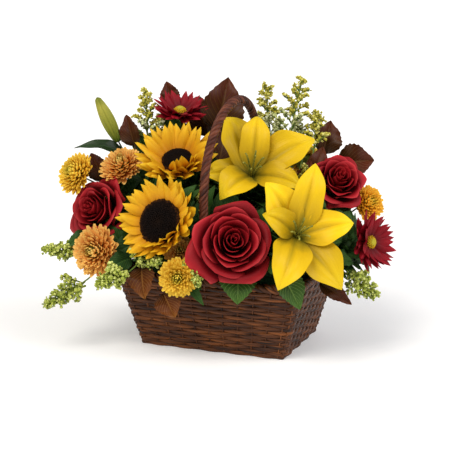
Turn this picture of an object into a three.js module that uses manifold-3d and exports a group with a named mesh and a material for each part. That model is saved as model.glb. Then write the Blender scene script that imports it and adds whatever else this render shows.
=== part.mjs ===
// A flower basket arrangement: a tapered wicker basket with a fixed hoop handle, a liner with floral
// foam, and roses, lilies, sunflowers, daisies, mums, solidago and leaves standing in the foam.
// Millimetres, +Z up. The origin is the middle of the basket's flat underside, the basket is long
// along X, and its front faces -Y.
import * as THREE from "three";
import { mergeVertices } from "three/addons/utils/BufferGeometryUtils.js";
import Module from "manifold-3d";

const wasm = await Module();
wasm.setup();

// ---------------------------------------------------------------- driving dimensions

const BASE = { long: 184, deep: 129, round: 9 };
const MOUTH = { long: 231, deep: 170, round: 14, height: 84 };
const WALL = 7;
const FLOOR = 5;

// The wall's courses go over and under the stakes, which stand at each corner and, in even steps,
// along each side. A course stands back where it passes behind a stake.
const COURSES = 18;
const STEPS_LONG = 10;
const STEPS_DEEP = 7;
const WEAVE_BACK = 2.4;

const RIM = { long: 224, deep: 163, round: 13, height: 90, radius: 5.4, relief: 0.5 };

const HANDLE = { radius: 5.2, relief: 0.5, crown: 291, reach: 88, lean: 8, straight: 100 };

const LINER = { long: 192, deep: 120, height: 80, baseLong: 148, baseDeep: 92, wall: 1.4, round: 18 };
const FOAM = {
  long: 182, deep: 110, height: 112, baseLong: 138, baseDeep: 82, round: 12, bevel: 8, topRound: 9,
};

const GAP = 0.4;
const GOLDEN_TURN = 2.4;

// Blooms are placed as they are seen from in front of the right corner: across to the right and up
// from the point aimed at, and towards the eye.
const EYE = { turn: 21, rise: 13.8, far: 1800, aim: 130 };

// Where the stems point to, inside the foam, and how deep they are pushed in.
const STEM_FOCUS = new THREE.Vector3(0, 0, 40);
const STEM_DEPTH = 22;
const STEM_CLEAR = 14;
const STEM_SLOPE = 0.75;
const HOLE_SIDES = 5;

const COLOURS = {
  wicker: 0x4a2a1c, rim: 0x56301f, handle: 0x5c3524, liner: 0x23301f, foam: 0x35562d,
  stem: 0x4f7031, bract: 0x5d7c35, leaf: 0x49702c, copper: 0x6b3620, rose: 0x8e0f1c,
  lily: 0xf0ca1c, throat: 0x8f8a2a, bud: 0xaec043, ray: 0xf2b021, disc: 0x2c170e,
  red: 0x9b1325, eye: 0xdfc93a, bronze: 0xd98a24, gold: 0xeebb2a, plume: 0xc3c94b,
};

// ---------------------------------------------------------------- the view frame

const turnAngle = THREE.MathUtils.degToRad(EYE.turn);
const riseAngle = THREE.MathUtils.degToRad(EYE.rise);
const towardsEye = new THREE.Vector3(
  Math.sin(turnAngle) * Math.cos(riseAngle),
  -Math.cos(turnAngle) * Math.cos(riseAngle),
  Math.sin(riseAngle),
);
const acrossView = new THREE.Vector3(Math.cos(turnAngle), Math.sin(turnAngle), 0);
const upView = towardsEye.clone().cross(acrossView);
const aimPoint = new THREE.Vector3(0, 0, EYE.aim);
const eyePoint = aimPoint.clone().addScaledVector(towardsEye, EYE.far);

function seen(across, up, towards) {
  const flat = aimPoint.clone().addScaledVector(acrossView, across).addScaledVector(upView, up);
  return flat.lerp(eyePoint, towards / EYE.far);
}

// A direction turned to the viewer's right and tilted up, from one that looks straight at the eye.
function facing(turn, tilt) {
  const right = THREE.MathUtils.degToRad(turn);
  const lift = THREE.MathUtils.degToRad(tilt);
  return new THREE.Vector3()
    .addScaledVector(acrossView, Math.sin(right) * Math.cos(lift))
    .addScaledVector(upView, Math.sin(lift))
    .addScaledVector(towardsEye, Math.cos(right) * Math.cos(lift));
}

// The frame of a bloom: +Z out of its face, +Y up in the view, its origin in the middle of the face.
function bloomFrame(place) {
  const z = facing(place.turn, place.tilt);
  const y = upView.clone().addScaledVector(z, -upView.dot(z)).normalize();
  const x = y.clone().cross(z);
  return new THREE.Matrix4().makeBasis(x, y, z).setPosition(seen(...place.at));
}

// ---------------------------------------------------------------- closed skins

const point = (x, y, z) => new THREE.Vector3(x, y, z);
const same = (a, b) => a.distanceToSquared(b) < 1e-10;

// Triangles as corner triples, with the ones that have no area left out.
function addTriangle(list, a, b, c) {
  if (!same(a, b) && !same(b, c) && !same(a, c)) list.push(a, b, c);
}

function solid(corners, matrix) {
  const geometry = new THREE.BufferGeometry().setFromPoints(corners);
  if (matrix) geometry.applyMatrix4(matrix);
  const merged = mergeVertices(geometry, 1e-4);
  const vertProperties = merged.attributes.position.array;
  const triVerts = new Uint32Array(merged.index.array);
  const made = new wasm.Manifold(new wasm.Mesh({ numProp: 3, vertProperties, triVerts }));
  if (made.volume() > 0) return made;
  for (let i = 0; i < triVerts.length; i += 3) {
    [triVerts[i + 1], triVerts[i + 2]] = [triVerts[i + 2], triVerts[i + 1]];
  }
  return new wasm.Manifold(new wasm.Mesh({ numProp: 3, vertProperties, triVerts }));
}

const join = (solids) => solids.reduce((whole, one) => whole.add(one));

// A skin over rings of points. An open row of rings is closed at its ends, each by a fan.
function loft(rings, closed = false) {
  const corners = [];
  const count = rings[0].length;
  const last = closed ? rings.length : rings.length - 1;
  for (let i = 0; i < last; i += 1) {
    const here = rings[i];
    const next = rings[(i + 1) % rings.length];
    for (let j = 0; j < count; j += 1) {
      const k = (j + 1) % count;
      addTriangle(corners, here[j], here[k], next[k]);
      addTriangle(corners, here[j], next[k], next[j]);
    }
  }
  if (closed) return corners;
  const end = rings[rings.length - 1];
  for (let j = 1; j < count - 1; j += 1) {
    addTriangle(corners, rings[0][0], rings[0][j + 1], rings[0][j]);
    addTriangle(corners, end[0], end[j], end[j + 1]);
  }
  return corners;
}

// A blade over rows of points across it: thick in its middle, sharp at its sides, with both faces
// split alike. A last row whose points are all one point makes a pointed tip.
function blade(rows, thick) {
  const last = rows.length - 1;
  const wide = rows[0].length - 1;
  const face = (side) => rows.map((row, i) => row.map((p, j) => {
    const along = rows[Math.min(i + 1, last)][j].clone().sub(rows[Math.max(i - 1, 0)][j]);
    const over = row[Math.min(j + 1, wide)].clone().sub(row[Math.max(j - 1, 0)]);
    const share = j === 0 || j === wide ? 0 : Math.sin((Math.PI * j) / wide);
    return p.clone().addScaledVector(over.cross(along).normalize(), (side * share * thick) / 2);
  }));
  const top = face(1);
  const under = face(-1);
  const corners = [];
  for (let i = 0; i < last; i += 1) {
    for (let j = 0; j < wide; j += 1) {
      addTriangle(corners, top[i][j], top[i][j + 1], top[i + 1][j + 1]);
      addTriangle(corners, top[i][j], top[i + 1][j + 1], top[i + 1][j]);
      addTriangle(corners, under[i][j], under[i + 1][j + 1], under[i][j + 1]);
      addTriangle(corners, under[i][j], under[i + 1][j], under[i + 1][j + 1]);
    }
  }
  for (let j = 0; j < wide; j += 1) {
    addTriangle(corners, top[0][j], under[0][j], under[0][j + 1]);
    addTriangle(corners, top[0][j], under[0][j + 1], top[0][j + 1]);
    addTriangle(corners, top[last][j], under[last][j + 1], under[last][j]);
    addTriangle(corners, top[last][j], top[last][j + 1], under[last][j + 1]);
  }
  return corners;
}

// Rings of a tube along a path: the section doesn't twist, and its radius may change on the way.
function tubeRings(path, radius, sides) {
  let normal = null;
  return path.map((p, i) => {
    const before = path[Math.max(i - 1, 0)];
    const after = path[Math.min(i + 1, path.length - 1)];
    const along = after.clone().sub(before).normalize();
    const guide = normal || (Math.abs(along.z) > 0.8 ? point(1, 0, 0) : point(0, 0, 1));
    normal = guide.clone().addScaledVector(along, -guide.dot(along)).normalize();
    const side = along.clone().cross(normal);
    const r = typeof radius === "function" ? radius(i / (path.length - 1), i) : radius;
    return Array.from({ length: sides }, (_, j) => {
      const angle = (2 * Math.PI * j) / sides;
      return p.clone().addScaledVector(normal, r * Math.cos(angle))
        .addScaledVector(side, r * Math.sin(angle));
    });
  });
}

const tube = (path, radius, sides) => loft(tubeRings(path, radius, sides));

// A turned shape about +Z from (radius, height) pairs, with a small flat at an end that meets the axis.
function turned(profile, sides) {
  return loft(profile.map(([r, z]) => Array.from({ length: sides }, (_, j) => {
    const angle = (2 * Math.PI * j) / sides;
    return point(r * Math.cos(angle), r * Math.sin(angle), z);
  })));
}

// Layers of petals on one stalk as a single skin, from the lowest layer up, each layer half a petal
// on from the one below. A layer has its root, middle and tip as [radius, height], its petal's width
// and thickness, and a draw that varies the tips. A petal without a middle runs straight to its tip.
function layeredBloom(count, layers) {
  const corners = [];
  const step = Math.PI / count;
  const at = (angle, r, z) => point(r * Math.cos(angle), r * Math.sin(angle), z);
  let below = null;
  layers.forEach(({ root, middle, tip, wide, thick, draw }, layer) => {
    const target = middle || tip;
    const slope = Math.atan2(target[1] - root[1], target[0] - root[0]);
    const offR = (-Math.sin(slope) * thick) / 2;
    const offZ = (Math.cos(slope) * thick) / 2;
    const ring = (side) => Array.from({ length: 2 * count }, (_, m) => {
      const off = (m + layer) % 2 === 0 ? side : 0;
      return at(m * step, root[0] + off * offR, root[1] + off * offZ);
    });
    const under = ring(-1);
    const over = ring(1);
    for (let m = 0; m < 2 * count; m += 1) {
      const n = (m + 1) % (2 * count);
      if (below) {
        addTriangle(corners, below[m], below[n], under[n]);
        addTriangle(corners, below[m], under[n], under[m]);
      } else if (m > 0 && m < 2 * count - 1) {
        addTriangle(corners, under[0], under[n], under[m]);
      }
      if ((m + layer) % 2 === 1) continue;
      const before = (m + 2 * count - 1) % (2 * count);
      const angle = m * step;
      const vary = 1 + 0.12 * (draw() - 0.5);
      const sway = (draw() - 0.5) * 0.1;
      const end = at(angle + sway, tip[0] * vary, tip[1] + 2 * sway * tip[0] * 0.3);
      for (const [side, face] of [[-1, under], [1, over]]) {
        const add = (a, b, c) => addTriangle(corners, a, ...(side > 0 ? [b, c] : [c, b]));
        if (!middle) {
          add(face[before], end, face[m]);
          add(face[m], end, face[n]);
          continue;
        }
        const [r, z] = middle;
        const half = wide / 2 / r;
        const left = at(angle - half, r, z + 1);
        const right = at(angle + half, r, z + 1);
        const rib = at(angle, r + side * offR, z + side * offZ - 0.4);
        add(face[before], left, rib);
        add(face[before], rib, face[m]);
        add(face[m], rib, right);
        add(face[m], right, face[n]);
        add(left, end, rib);
        add(rib, end, right);
      }
    }
    below = over;
  });
  for (let m = 1; m < 2 * count - 1; m += 1) addTriangle(corners, below[0], below[m], below[m + 1]);
  return corners;
}

// A small even random number, the same on every run.
function seeded(seed) {
  let state = seed * 7919 + 17;
  return () => {
    state = (state * 16807) % 2147483647;
    return state / 2147483647;
  };
}

const arrangement = new THREE.Group();

function addMesh(name, shape, colour, roughness, matrix) {
  const whole = matrix ? shape.transform(matrix.elements) : shape;
  const kept = whole.decompose().sort((a, b) => b.volume() - a.volume())[0];
  const data = kept.getMesh();
  const geometry = new THREE.BufferGeometry();
  geometry.setAttribute("position", new THREE.BufferAttribute(data.vertProperties, 3));
  geometry.setIndex(new THREE.BufferAttribute(data.triVerts, 1));
  geometry.computeVertexNormals();
  const material = new THREE.MeshStandardMaterial({ color: colour, roughness, metalness: 0 });
  const mesh = new THREE.Mesh(geometry, material);
  mesh.name = name;
  arrangement.add(mesh);
}

// ---------------------------------------------------------------- basket

// A level rounded oblong, with the same number of points on each side at every height.
function oblong(long, deep, round, height, longSteps = 8, deepSteps = 6, relief = () => 0) {
  const centres = [[1, 1], [-1, 1], [-1, -1], [1, -1]];
  const points = [];
  centres.forEach(([sx, sy], corner) => {
    for (let step = 0; step <= 2; step += 1) {
      const angle = ((corner + step / 2) * Math.PI) / 2;
      points.push([
        sx * (long / 2 - round) + round * Math.cos(angle),
        sy * (deep / 2 - round) + round * Math.sin(angle),
        angle,
      ]);
    }
    const [x, y, angle] = points[points.length - 1];
    const steps = corner % 2 === 0 ? longSteps : deepSteps;
    const run = corner % 2 === 0 ? [-sx * (long - 2 * round), 0] : [0, -sy * (deep - 2 * round)];
    for (let step = 1; step < steps; step += 1) {
      points.push([x + (run[0] * step) / steps, y + (run[1] * step) / steps, angle]);
    }
  });
  return points.map(([x, y, angle], i) => {
    const out = relief(i);
    return point(x + out * Math.cos(angle), y + out * Math.sin(angle), height);
  });
}

// The oblong of the wall at a height, moved in by a distance.
function wallRing(height, inset, relief) {
  const share = height / MOUTH.height;
  const mix = (key) => BASE[key] + (MOUTH[key] - BASE[key]) * share;
  const [long, deep, round] = [mix("long") - 2 * inset, mix("deep") - 2 * inset, mix("round") - inset];
  return oblong(long, deep, round, height, STEPS_LONG, STEPS_DEEP, relief);
}

function basketShell() {
  const rings = [wallRing(0, WEAVE_BACK / 2)];
  const course = MOUTH.height / COURSES;
  for (let k = 0; k < COURSES; k += 1) {
    rings.push(wallRing((k + 0.5) * course, 0, (i) => ((i + k) % 2 === 0 ? 0 : -WEAVE_BACK)));
  }
  rings.push(wallRing(MOUTH.height, WEAVE_BACK / 2));
  rings.push(wallRing(MOUTH.height, WALL));
  rings.push(wallRing(FLOOR, WALL));
  return solid(loft(rings));
}

function basketRim() {
  const path = oblong(RIM.long, RIM.deep, RIM.round, RIM.height);
  const centre = point(0, 0, RIM.height);
  const rings = path.map((p, i) => {
    const before = path[(i + path.length - 1) % path.length];
    const after = path[(i + 1) % path.length];
    const along = after.clone().sub(before).normalize();
    const out = point(along.y, -along.x, 0);
    if (out.dot(p.clone().sub(centre)) < 0) out.negate();
    const r = RIM.radius + (i % 2 === 0 ? RIM.relief : -RIM.relief);
    return Array.from({ length: 6 }, (_, j) => {
      const angle = ((j + 0.5) * Math.PI) / 3;
      return p.clone().addScaledVector(out, r * Math.cos(angle))
        .add(point(0, 0, (RIM.radius - RIM.relief) * Math.sin(angle)));
    });
  });
  return solid(loft(rings, true));
}

// The hoop's path: a foot inside the wall, a limb that leans out over the rim, and a round crown.
function handlePath() {
  const springing = HANDLE.crown - HANDLE.reach;
  const limb = [
    [62.5, 44], [66.2, 66], [69.6, 88], [74, 104], [81, 126], [86, 155], [HANDLE.reach, 183],
  ];
  const side = limb.map(([y, z]) => [-y, z]);
  const crown = [];
  for (let step = 0; step <= 12; step += 1) {
    const angle = Math.PI - (step * Math.PI) / 12;
    crown.push([HANDLE.reach * Math.cos(angle), springing + HANDLE.reach * Math.sin(angle)]);
  }
  const whole = [...side, ...crown, ...limb.slice().reverse()];
  return whole.map(([y, z]) => {
    const share = Math.max(0, (z - HANDLE.straight) / (HANDLE.crown - HANDLE.straight));
    return point(HANDLE.lean * share * share, y, z);
  });
}

function basketHandle() {
  const thickness = (share, i) => HANDLE.radius + (i % 2 === 0 ? HANDLE.relief : -HANDLE.relief);
  return solid(tube(handlePath(), thickness, 6));
}

// ---------------------------------------------------------------- liner and foam

const lip = (height, inset) => {
  const share = (height - FLOOR) / (LINER.height - FLOOR);
  const long = LINER.baseLong + (LINER.long - LINER.baseLong) * share;
  const deep = LINER.baseDeep + (LINER.deep - LINER.baseDeep) * share;
  return oblong(long - 2 * inset, deep - 2 * inset, LINER.round - inset, height, 3, 2);
};

function liner() {
  const bottom = FLOOR + GAP;
  return solid(loft([
    lip(bottom, 0), lip(LINER.height, 0), lip(LINER.height, LINER.wall), lip(bottom + LINER.wall, LINER.wall),
  ]));
}

function foamBlock() {
  const bottom = FLOOR + 2 * GAP + LINER.wall;
  return solid(loft([
    oblong(FOAM.baseLong, FOAM.baseDeep, FOAM.round, bottom),
    oblong(FOAM.long, FOAM.deep, FOAM.round, LINER.height),
    oblong(FOAM.long, FOAM.deep, FOAM.round, FOAM.height - FOAM.bevel),
    oblong(FOAM.long - 2 * FOAM.bevel, FOAM.deep - 2 * FOAM.bevel, FOAM.topRound, FOAM.height),
  ]));
}

// ---------------------------------------------------------------- stems

const holes = [];

// Where a line out of the focus leaves the foam.
function foamExit(direction) {
  const reach = [
    (FOAM.height - STEM_FOCUS.z) / Math.max(direction.z, 0.01),
    FOAM.long / 2 / Math.max(Math.abs(direction.x), 0.01),
    FOAM.deep / 2 / Math.max(Math.abs(direction.y), 0.01),
  ];
  return STEM_FOCUS.clone().addScaledVector(direction, Math.min(...reach));
}

// A stem's path from the bottom of its hole to its end, which it reaches along a direction. A stem
// with a low end leaves the foam upwards first, at least at the given slope. The hole is kept for
// the foam.
function stemPath(end, direction, radius, slope = STEM_SLOPE, shift = 0) {
  const way = end.clone().sub(STEM_FOCUS);
  const level = Math.hypot(way.x, way.y);
  way.z = Math.max(way.z, level * slope);
  way.applyAxisAngle(point(0, 0, 1), THREE.MathUtils.degToRad(shift)).normalize();
  const seat = foamExit(way);
  const foot = seat.clone().addScaledVector(way, -STEM_DEPTH);
  const clear = seat.clone().addScaledVector(way, STEM_CLEAR);
  const bore = (radius + GAP) / Math.cos(Math.PI / HOLE_SIDES);
  holes.push(solid(tube([foot.clone().addScaledVector(way, -GAP), clear], bore, HOLE_SIDES)));
  const span = clear.distanceTo(end);
  const curve = new THREE.CubicBezierCurve3(
    clear,
    clear.clone().addScaledVector(way, span * 0.35),
    end.clone().addScaledVector(direction, -span * 0.35),
    end,
  );
  return [foot, ...curve.getPoints(Math.max(3, Math.round(span / 30)))];
}

// ---------------------------------------------------------------- a single leaf

// The outline is the leaf's half width at shares of its length.
const LEAF = {
  thick: 1.5, fold: 0.16, outline: [[0, 0.1], [0.2, 0.72], [0.42, 1], [0.64, 0.86], [0.84, 0.46], [1, 0]],
};

// A pointed leaf folded along its rib, with waved or toothed edges, from its root to its tip.
function leaf(root, tip, wide, up, wave, curl) {
  const along = tip.clone().sub(root);
  const length = along.length();
  along.normalize();
  const over = along.clone().cross(up).normalize();
  const above = over.clone().cross(along);
  const rows = LEAF.outline.map(([s, w], i) => {
    const middle = root.clone().addScaledVector(along, length * s)
      .addScaledVector(above, curl * length * Math.sin(s * Math.PI));
    const edge = w > 0.1 ? wave * (i % 2 === 0 ? 1 : -1) : 0;
    return [-1, 0, 1].map((j) => middle.clone()
      .addScaledVector(over, (j * w * wide) / 2)
      .addScaledVector(above, Math.abs(j) * w * wide * LEAF.fold + j * edge));
  });
  return solid(blade(rows, LEAF.thick));
}

// ---------------------------------------------------------------- roses

// Across a bloom, as shares of its radius, the innermost petal opens to the heart and the others up
// to the spread more. Outwards their tops fall, and their lips roll back.
const ROSE = { depth: 42, petals: 8, thick: 1.5, heart: 0.42, spread: 0.52, fall: 15, lip: 1.5, roll: 4 };

// Petals in a spiral round a closed bud, the outer ones wider, lower and rolled back at the lip.
function roseBloom(radius) {
  const bottom = -ROSE.depth;
  const parts = [solid(turned([
    [radius * 0.1, bottom], [radius * 0.3, bottom + 5], [radius * 0.3, bottom + 16],
    [radius * 0.28, -10], [radius * 0.12, 1],
  ], 6))];
  for (let k = 0; k < ROSE.petals; k += 1) {
    const share = k / (ROSE.petals - 1);
    const around = k * GOLDEN_TURN;
    const out = radius * (ROSE.heart + ROSE.spread * Math.pow(share, 0.9));
    const top = 2 - ROSE.fall * share * share;
    const half = 1.15 - 0.25 * share;
    const roll = ROSE.lip + ROSE.roll * share;
    const rows = [0, 0.6, 1].map((s, i) => [-1, -0.34, 0.34, 1].map((j) => {
      const bowl = radius * 0.18 + (out - radius * 0.18) * Math.sin((s * Math.PI) / 2);
      const lip = i === 2 ? 1 : 0;
      const angle = around + j * half * (1 - 0.2 * lip * Math.abs(j));
      const r = bowl * (1 + 0.06 * j) + lip * roll * (1 - 0.5 * Math.abs(j));
      const drop = lip * Math.abs(j) * 5;
      const height = bottom + 5 + (top - bottom - 5) * Math.pow(s, 1.5) - drop;
      return point(r * Math.cos(angle), r * Math.sin(angle), height);
    }));
    parts.push(solid(blade(rows, ROSE.thick)));
  }
  return join(parts);
}

// The hip under the bloom with five sepals, and the stem.
function roseStem(place, frame, radius) {
  const back = -ROSE.depth - GAP;
  const draw = seeded(5);
  const sepals = { root: [4, back - 4], tip: [16, back - 7], thick: 1.6, draw };
  const parts = [
    solid(turned([[2.2, back - 10], [4.4, back - 7], [4.4, back - 2], [3, back]], 5), frame),
    solid(layeredBloom(5, [sepals]), frame),
  ];
  const out = facing(place.turn, place.tilt);
  const end = point(0, 0, back - 7).applyMatrix4(frame);
  parts.push(solid(tube(stemPath(end, out, radius, place.slope, place.shift), radius, 5)));
  return join(parts);
}

const ROSES = {
  rose_front: { at: [5, -8, 124], turn: 5, tilt: 12, size: 50 },
  rose_left: { at: [-170, 31, 20], turn: -36, tilt: 12, size: 42 },
  rose_right: { at: [134, 70, 34], turn: 14, tilt: 26, size: 37 },
  rose_back: { at: [-70, 45, -150], turn: 172, tilt: 20, size: 38 },
};

for (const [name, place] of Object.entries(ROSES)) {
  const frame = bloomFrame(place);
  addMesh(`${name}_bloom`, roseBloom(place.size), COLOURS.rose, 0.6, frame);
  addMesh(`${name}_stem`, roseStem(place, frame, 2.6), COLOURS.stem, 0.7);
}

// ---------------------------------------------------------------- lilies

const TEPAL = { thick: 1.6, throat: 2.5, foot: 3, wave: 1.4, channel: 0.22 };

// One tepal: it rises out of the throat, arches out and curls back at the tip.
function tepal(angle, reach, wide, arch) {
  const rows = [0, 0.28, 0.55, 0.82, 1].map((s) => {
    const out = TEPAL.throat + (reach - TEPAL.throat) * Math.pow(s, 1.08);
    const lift = arch * Math.sin(s * Math.PI * 0.74);
    const broad = Math.sin(Math.PI * Math.pow(s, 0.85));
    const half = s === 1 ? 0 : TEPAL.foot + (wide / 2 - TEPAL.foot) * broad;
    return [-1, -0.5, 0, 0.5, 1].map((j) => {
      const channel = half * TEPAL.channel * (j * j - 0.4);
      const wave = Math.abs(j) === 1 ? TEPAL.wave * Math.sin(s * 9 + j) : 0;
      const side = half * j;
      return point(
        out * Math.cos(angle) - side * Math.sin(angle),
        out * Math.sin(angle) + side * Math.cos(angle),
        lift + channel + (s === 1 ? 0 : wave),
      );
    });
  });
  return solid(blade(rows, TEPAL.thick));
}

function lilyTepals(tepals) {
  const base = solid(turned([[1.5, -5], [4.5, -3], [4.5, 1.4]], 6));
  return join([base, ...tepals.map(([degrees, reach, wide, arch]) =>
    tepal(THREE.MathUtils.degToRad(degrees), reach, wide, arch))]);
}

// A pistil with its three-sided stigma, and six filaments with anthers round it.
function lilyCentre() {
  const parts = [
    solid(turned([[2.4, 1.8], [1.2, 12], [1, 40], [2.6, 44], [1.2, 46]], 5)),
  ];
  for (let k = 0; k < 6; k += 1) {
    const angle = ((k + 0.25) * Math.PI) / 3;
    const at = (r, z) => point(r * Math.cos(angle), r * Math.sin(angle), z);
    parts.push(solid(tube([at(1, 4), at(6, 24), at(10, 33)], (share) => 0.8 + share * share, 3)));
  }
  return join(parts);
}

// Each tepal has its angle round the throat in degrees, its reach, its width and its arch.
const LILIES = {
  lily_upper: {
    at: [26, 70, 42], turn: 3, tilt: 26,
    tepals: [
      [113, 74, 40, 26], [84, 68, 32, 30], [27, 84, 44, 26],
      [190, 58, 32, 22], [226, 58, 38, 24], [334, 62, 32, 26],
    ],
  },
  lily_lower: {
    at: [80, -3, 104], turn: 7, tilt: 12,
    tepals: [
      [75, 82, 34, 30], [10, 64, 36, 24], [306, 80, 44, 26],
      [248, 72, 42, 28], [154, 46, 28, 30], [122, 68, 38, 26],
    ],
  },
};
const LILY_STEM_RADIUS = 2.8;

for (const [name, place] of Object.entries(LILIES)) {
  const frame = bloomFrame(place);
  addMesh(`${name}_tepals`, lilyTepals(place.tepals), COLOURS.lily, 0.55, frame);
  addMesh(`${name}_centre`, lilyCentre(), COLOURS.throat, 0.7, frame);
  const end = point(0, 0, -6.2).applyMatrix4(frame);
  const path = stemPath(end, facing(place.turn, place.tilt), LILY_STEM_RADIUS);
  addMesh(`${name}_stem`, solid(tube(path, LILY_STEM_RADIUS, 5)), COLOURS.stem, 0.7);
}

// The bud: six long ridges closing to a point, on its stem with one narrow arched leaf.
const BUD = {
  at: [-134, 110, -30], turn: -55, tilt: 60, length: 60, thick: 9, neck: 2.5, stem: 2.4, shift: -14,
  leafTip: [-187, 102, -22], leafWide: 14, leafWave: 0.3, leafCurl: 0.16,
};

function lilyBud() {
  const frame = bloomFrame(BUD);
  const rings = [0, 0.12, 0.35, 0.6, 0.82, 1].map((s) => Array.from({ length: 12 }, (_, j) => {
    const angle = (2 * Math.PI * j) / 12;
    const fat = Math.sin(Math.PI * Math.min(1, 0.12 + s * 0.85));
    const swell = BUD.neck + (BUD.thick - BUD.neck) * fat;
    const r = swell * (j % 2 === 0 ? 1 : 0.88);
    return point(r * Math.cos(angle), r * Math.sin(angle), BUD.length * s);
  }));
  const end = point(0, 0, 2).applyMatrix4(frame);
  const path = stemPath(end, facing(BUD.turn, BUD.tilt), BUD.stem, STEM_SLOPE, BUD.shift);
  const root = path[path.length - 2];
  const tip = seen(...BUD.leafTip);
  const side = leaf(root, tip, BUD.leafWide, facing(0, 60), BUD.leafWave, BUD.leafCurl);
  return join([solid(loft(rings), frame), solid(tube(path, BUD.stem, 5)), side]);
}

addMesh("lily_bud", lilyBud(), COLOURS.bud, 0.6);

// ---------------------------------------------------------------- sunflowers and daisies

const RAY_THICK = 1.5;
const RAY_DEPTH = 4.6;
const DISC_SEAT = -1.6;

// The bloom's rays in two layers, the upper one shorter and cupped up round the disc.
function rayBloom({ size, plate, count, wide, cup, seed }) {
  const draw = seeded(seed);
  const layer = (foot, middle, tip) => ({
    root: [plate, foot], middle: [size * middle[0], cup * middle[1]], tip: [size * tip[0], cup * tip[1]],
    wide, thick: RAY_THICK, draw,
  });
  return solid(layeredBloom(count, [
    layer(-RAY_DEPTH, [0.64, 0.1], [1, 0.5]),
    layer(-2.4, [0.6, 0.62], [0.88, 1.3]),
  ]));
}

// A disc of small florets: a low dome with a dimple, its skin raised in turns of bumps.
function floretDisc(radius, rise, sides, relief) {
  const profile = [[0.2, 0.72], [0.42, 0.82], [0.62, 0.96], [0.82, 0.9], [0.97, 0.5]];
  const rings = profile.map(([r, z], i) => Array.from({ length: sides }, (_, j) => {
    const angle = (2 * Math.PI * (j + i / 2)) / sides;
    const bump = (i + j) % 2 === 0 ? relief : 0;
    return point(radius * r * Math.cos(angle), radius * r * Math.sin(angle), rise * z + bump);
  }));
  const foot = Array.from({ length: sides }, (_, j) => {
    const angle = (2 * Math.PI * (j + 2)) / sides;
    return point(radius * Math.cos(angle), radius * Math.sin(angle), 0);
  });
  return solid(loft([...rings, foot]));
}

// The green cup behind a bloom, with pointed bracts, and the stem.
function bractStem(place, frame, cup, bracts, radius) {
  const top = -RAY_DEPTH - RAY_THICK / 2 - GAP;
  const draw = seeded(bracts);
  const whorl = { root: [cup * 0.5, top - 2], tip: [cup * 1.25, top - 3], thick: 1.8, draw };
  const end = point(0, 0, top - 6).applyMatrix4(frame);
  const path = stemPath(end, facing(place.turn, place.tilt), radius, place.slope, place.shift);
  return join([
    solid(turned([[radius * 0.9, top - 8], [cup * 0.5, top - 3.4], [cup * 0.5, top]], 7), frame),
    solid(layeredBloom(bracts, [whorl]), frame),
    solid(tube(path, radius, 5)),
  ]);
}

const SUNFLOWERS = {
  sunflower_upper: {
    at: [-63, 87, 38], turn: -4, tilt: 40, size: 50, plate: 17, wide: 18, cup: 20, seed: 3,
  },
  sunflower_lower: {
    at: [-84, 13, 80], turn: -28, tilt: 10, size: 55, plate: 24, wide: 20, cup: 15, seed: 5,
  },
};
const SUNFLOWER = { count: 12, bracts: 7, stem: 3.4 };

for (const [name, place] of Object.entries(SUNFLOWERS)) {
  const frame = bloomFrame(place);
  const disc = floretDisc(place.plate - 1, 7, 15, 0.9).translate([0, 0, DISC_SEAT + GAP]);
  const stem = bractStem(place, frame, place.plate, SUNFLOWER.bracts, SUNFLOWER.stem);
  addMesh(`${name}_rays`, rayBloom({ ...SUNFLOWER, ...place }), COLOURS.ray, 0.6, frame);
  addMesh(`${name}_disc`, disc, COLOURS.disc, 0.9, frame);
  addMesh(`${name}_stem`, stem, COLOURS.bract, 0.7);
}

const DAISIES = {
  red_daisy_top: { at: [-60, 148, -30], turn: 4, tilt: 56, seed: 7 },
  red_daisy_right: { at: [170, -11, 58], turn: 44, tilt: 4, seed: 9 },
};
const DAISY = { size: 35, plate: 6.4, count: 11, wide: 10, cup: 9, bracts: 5, calyx: 7, stem: 1.8 };

for (const [name, place] of Object.entries(DAISIES)) {
  const frame = bloomFrame(place);
  const eye = floretDisc(DAISY.plate - 1, 4, 8, 0.5).translate([0, 0, DISC_SEAT + GAP]);
  const stem = bractStem(place, frame, DAISY.calyx, DAISY.bracts, DAISY.stem);
  addMesh(`${name}_rays`, rayBloom({ ...DAISY, ...place }), COLOURS.red, 0.6, frame);
  addMesh(`${name}_eye`, eye, COLOURS.eye, 0.8, frame);
  addMesh(`${name}_stem`, stem, COLOURS.stem, 0.7);
}

// ---------------------------------------------------------------- cushion mums

const MUM = { petals: 8, thick: 2, under: 0.38, cup: 0.18, mainStem: 1.8, branch: 1.6 };

// A dense dome of pointed petals in four layers, flat at the rim and upright in the middle.
function mumHead(size, seed) {
  const draw = seeded(seed);
  const layer = (root, tip) => ({
    root: [root[0] * size, root[1] * size], tip: [tip[0] * size, tip[1] * size], thick: MUM.thick, draw,
  });
  return solid(layeredBloom(MUM.petals, [
    layer([0.56, -MUM.under], [1, -0.24]),
    layer([0.66, -0.2], [1.02, 0.1]),
    layer([0.58, 0.06], [0.8, 0.46]),
    layer([0.34, 0.3], [0.42, 0.68]),
  ]));
}

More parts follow.
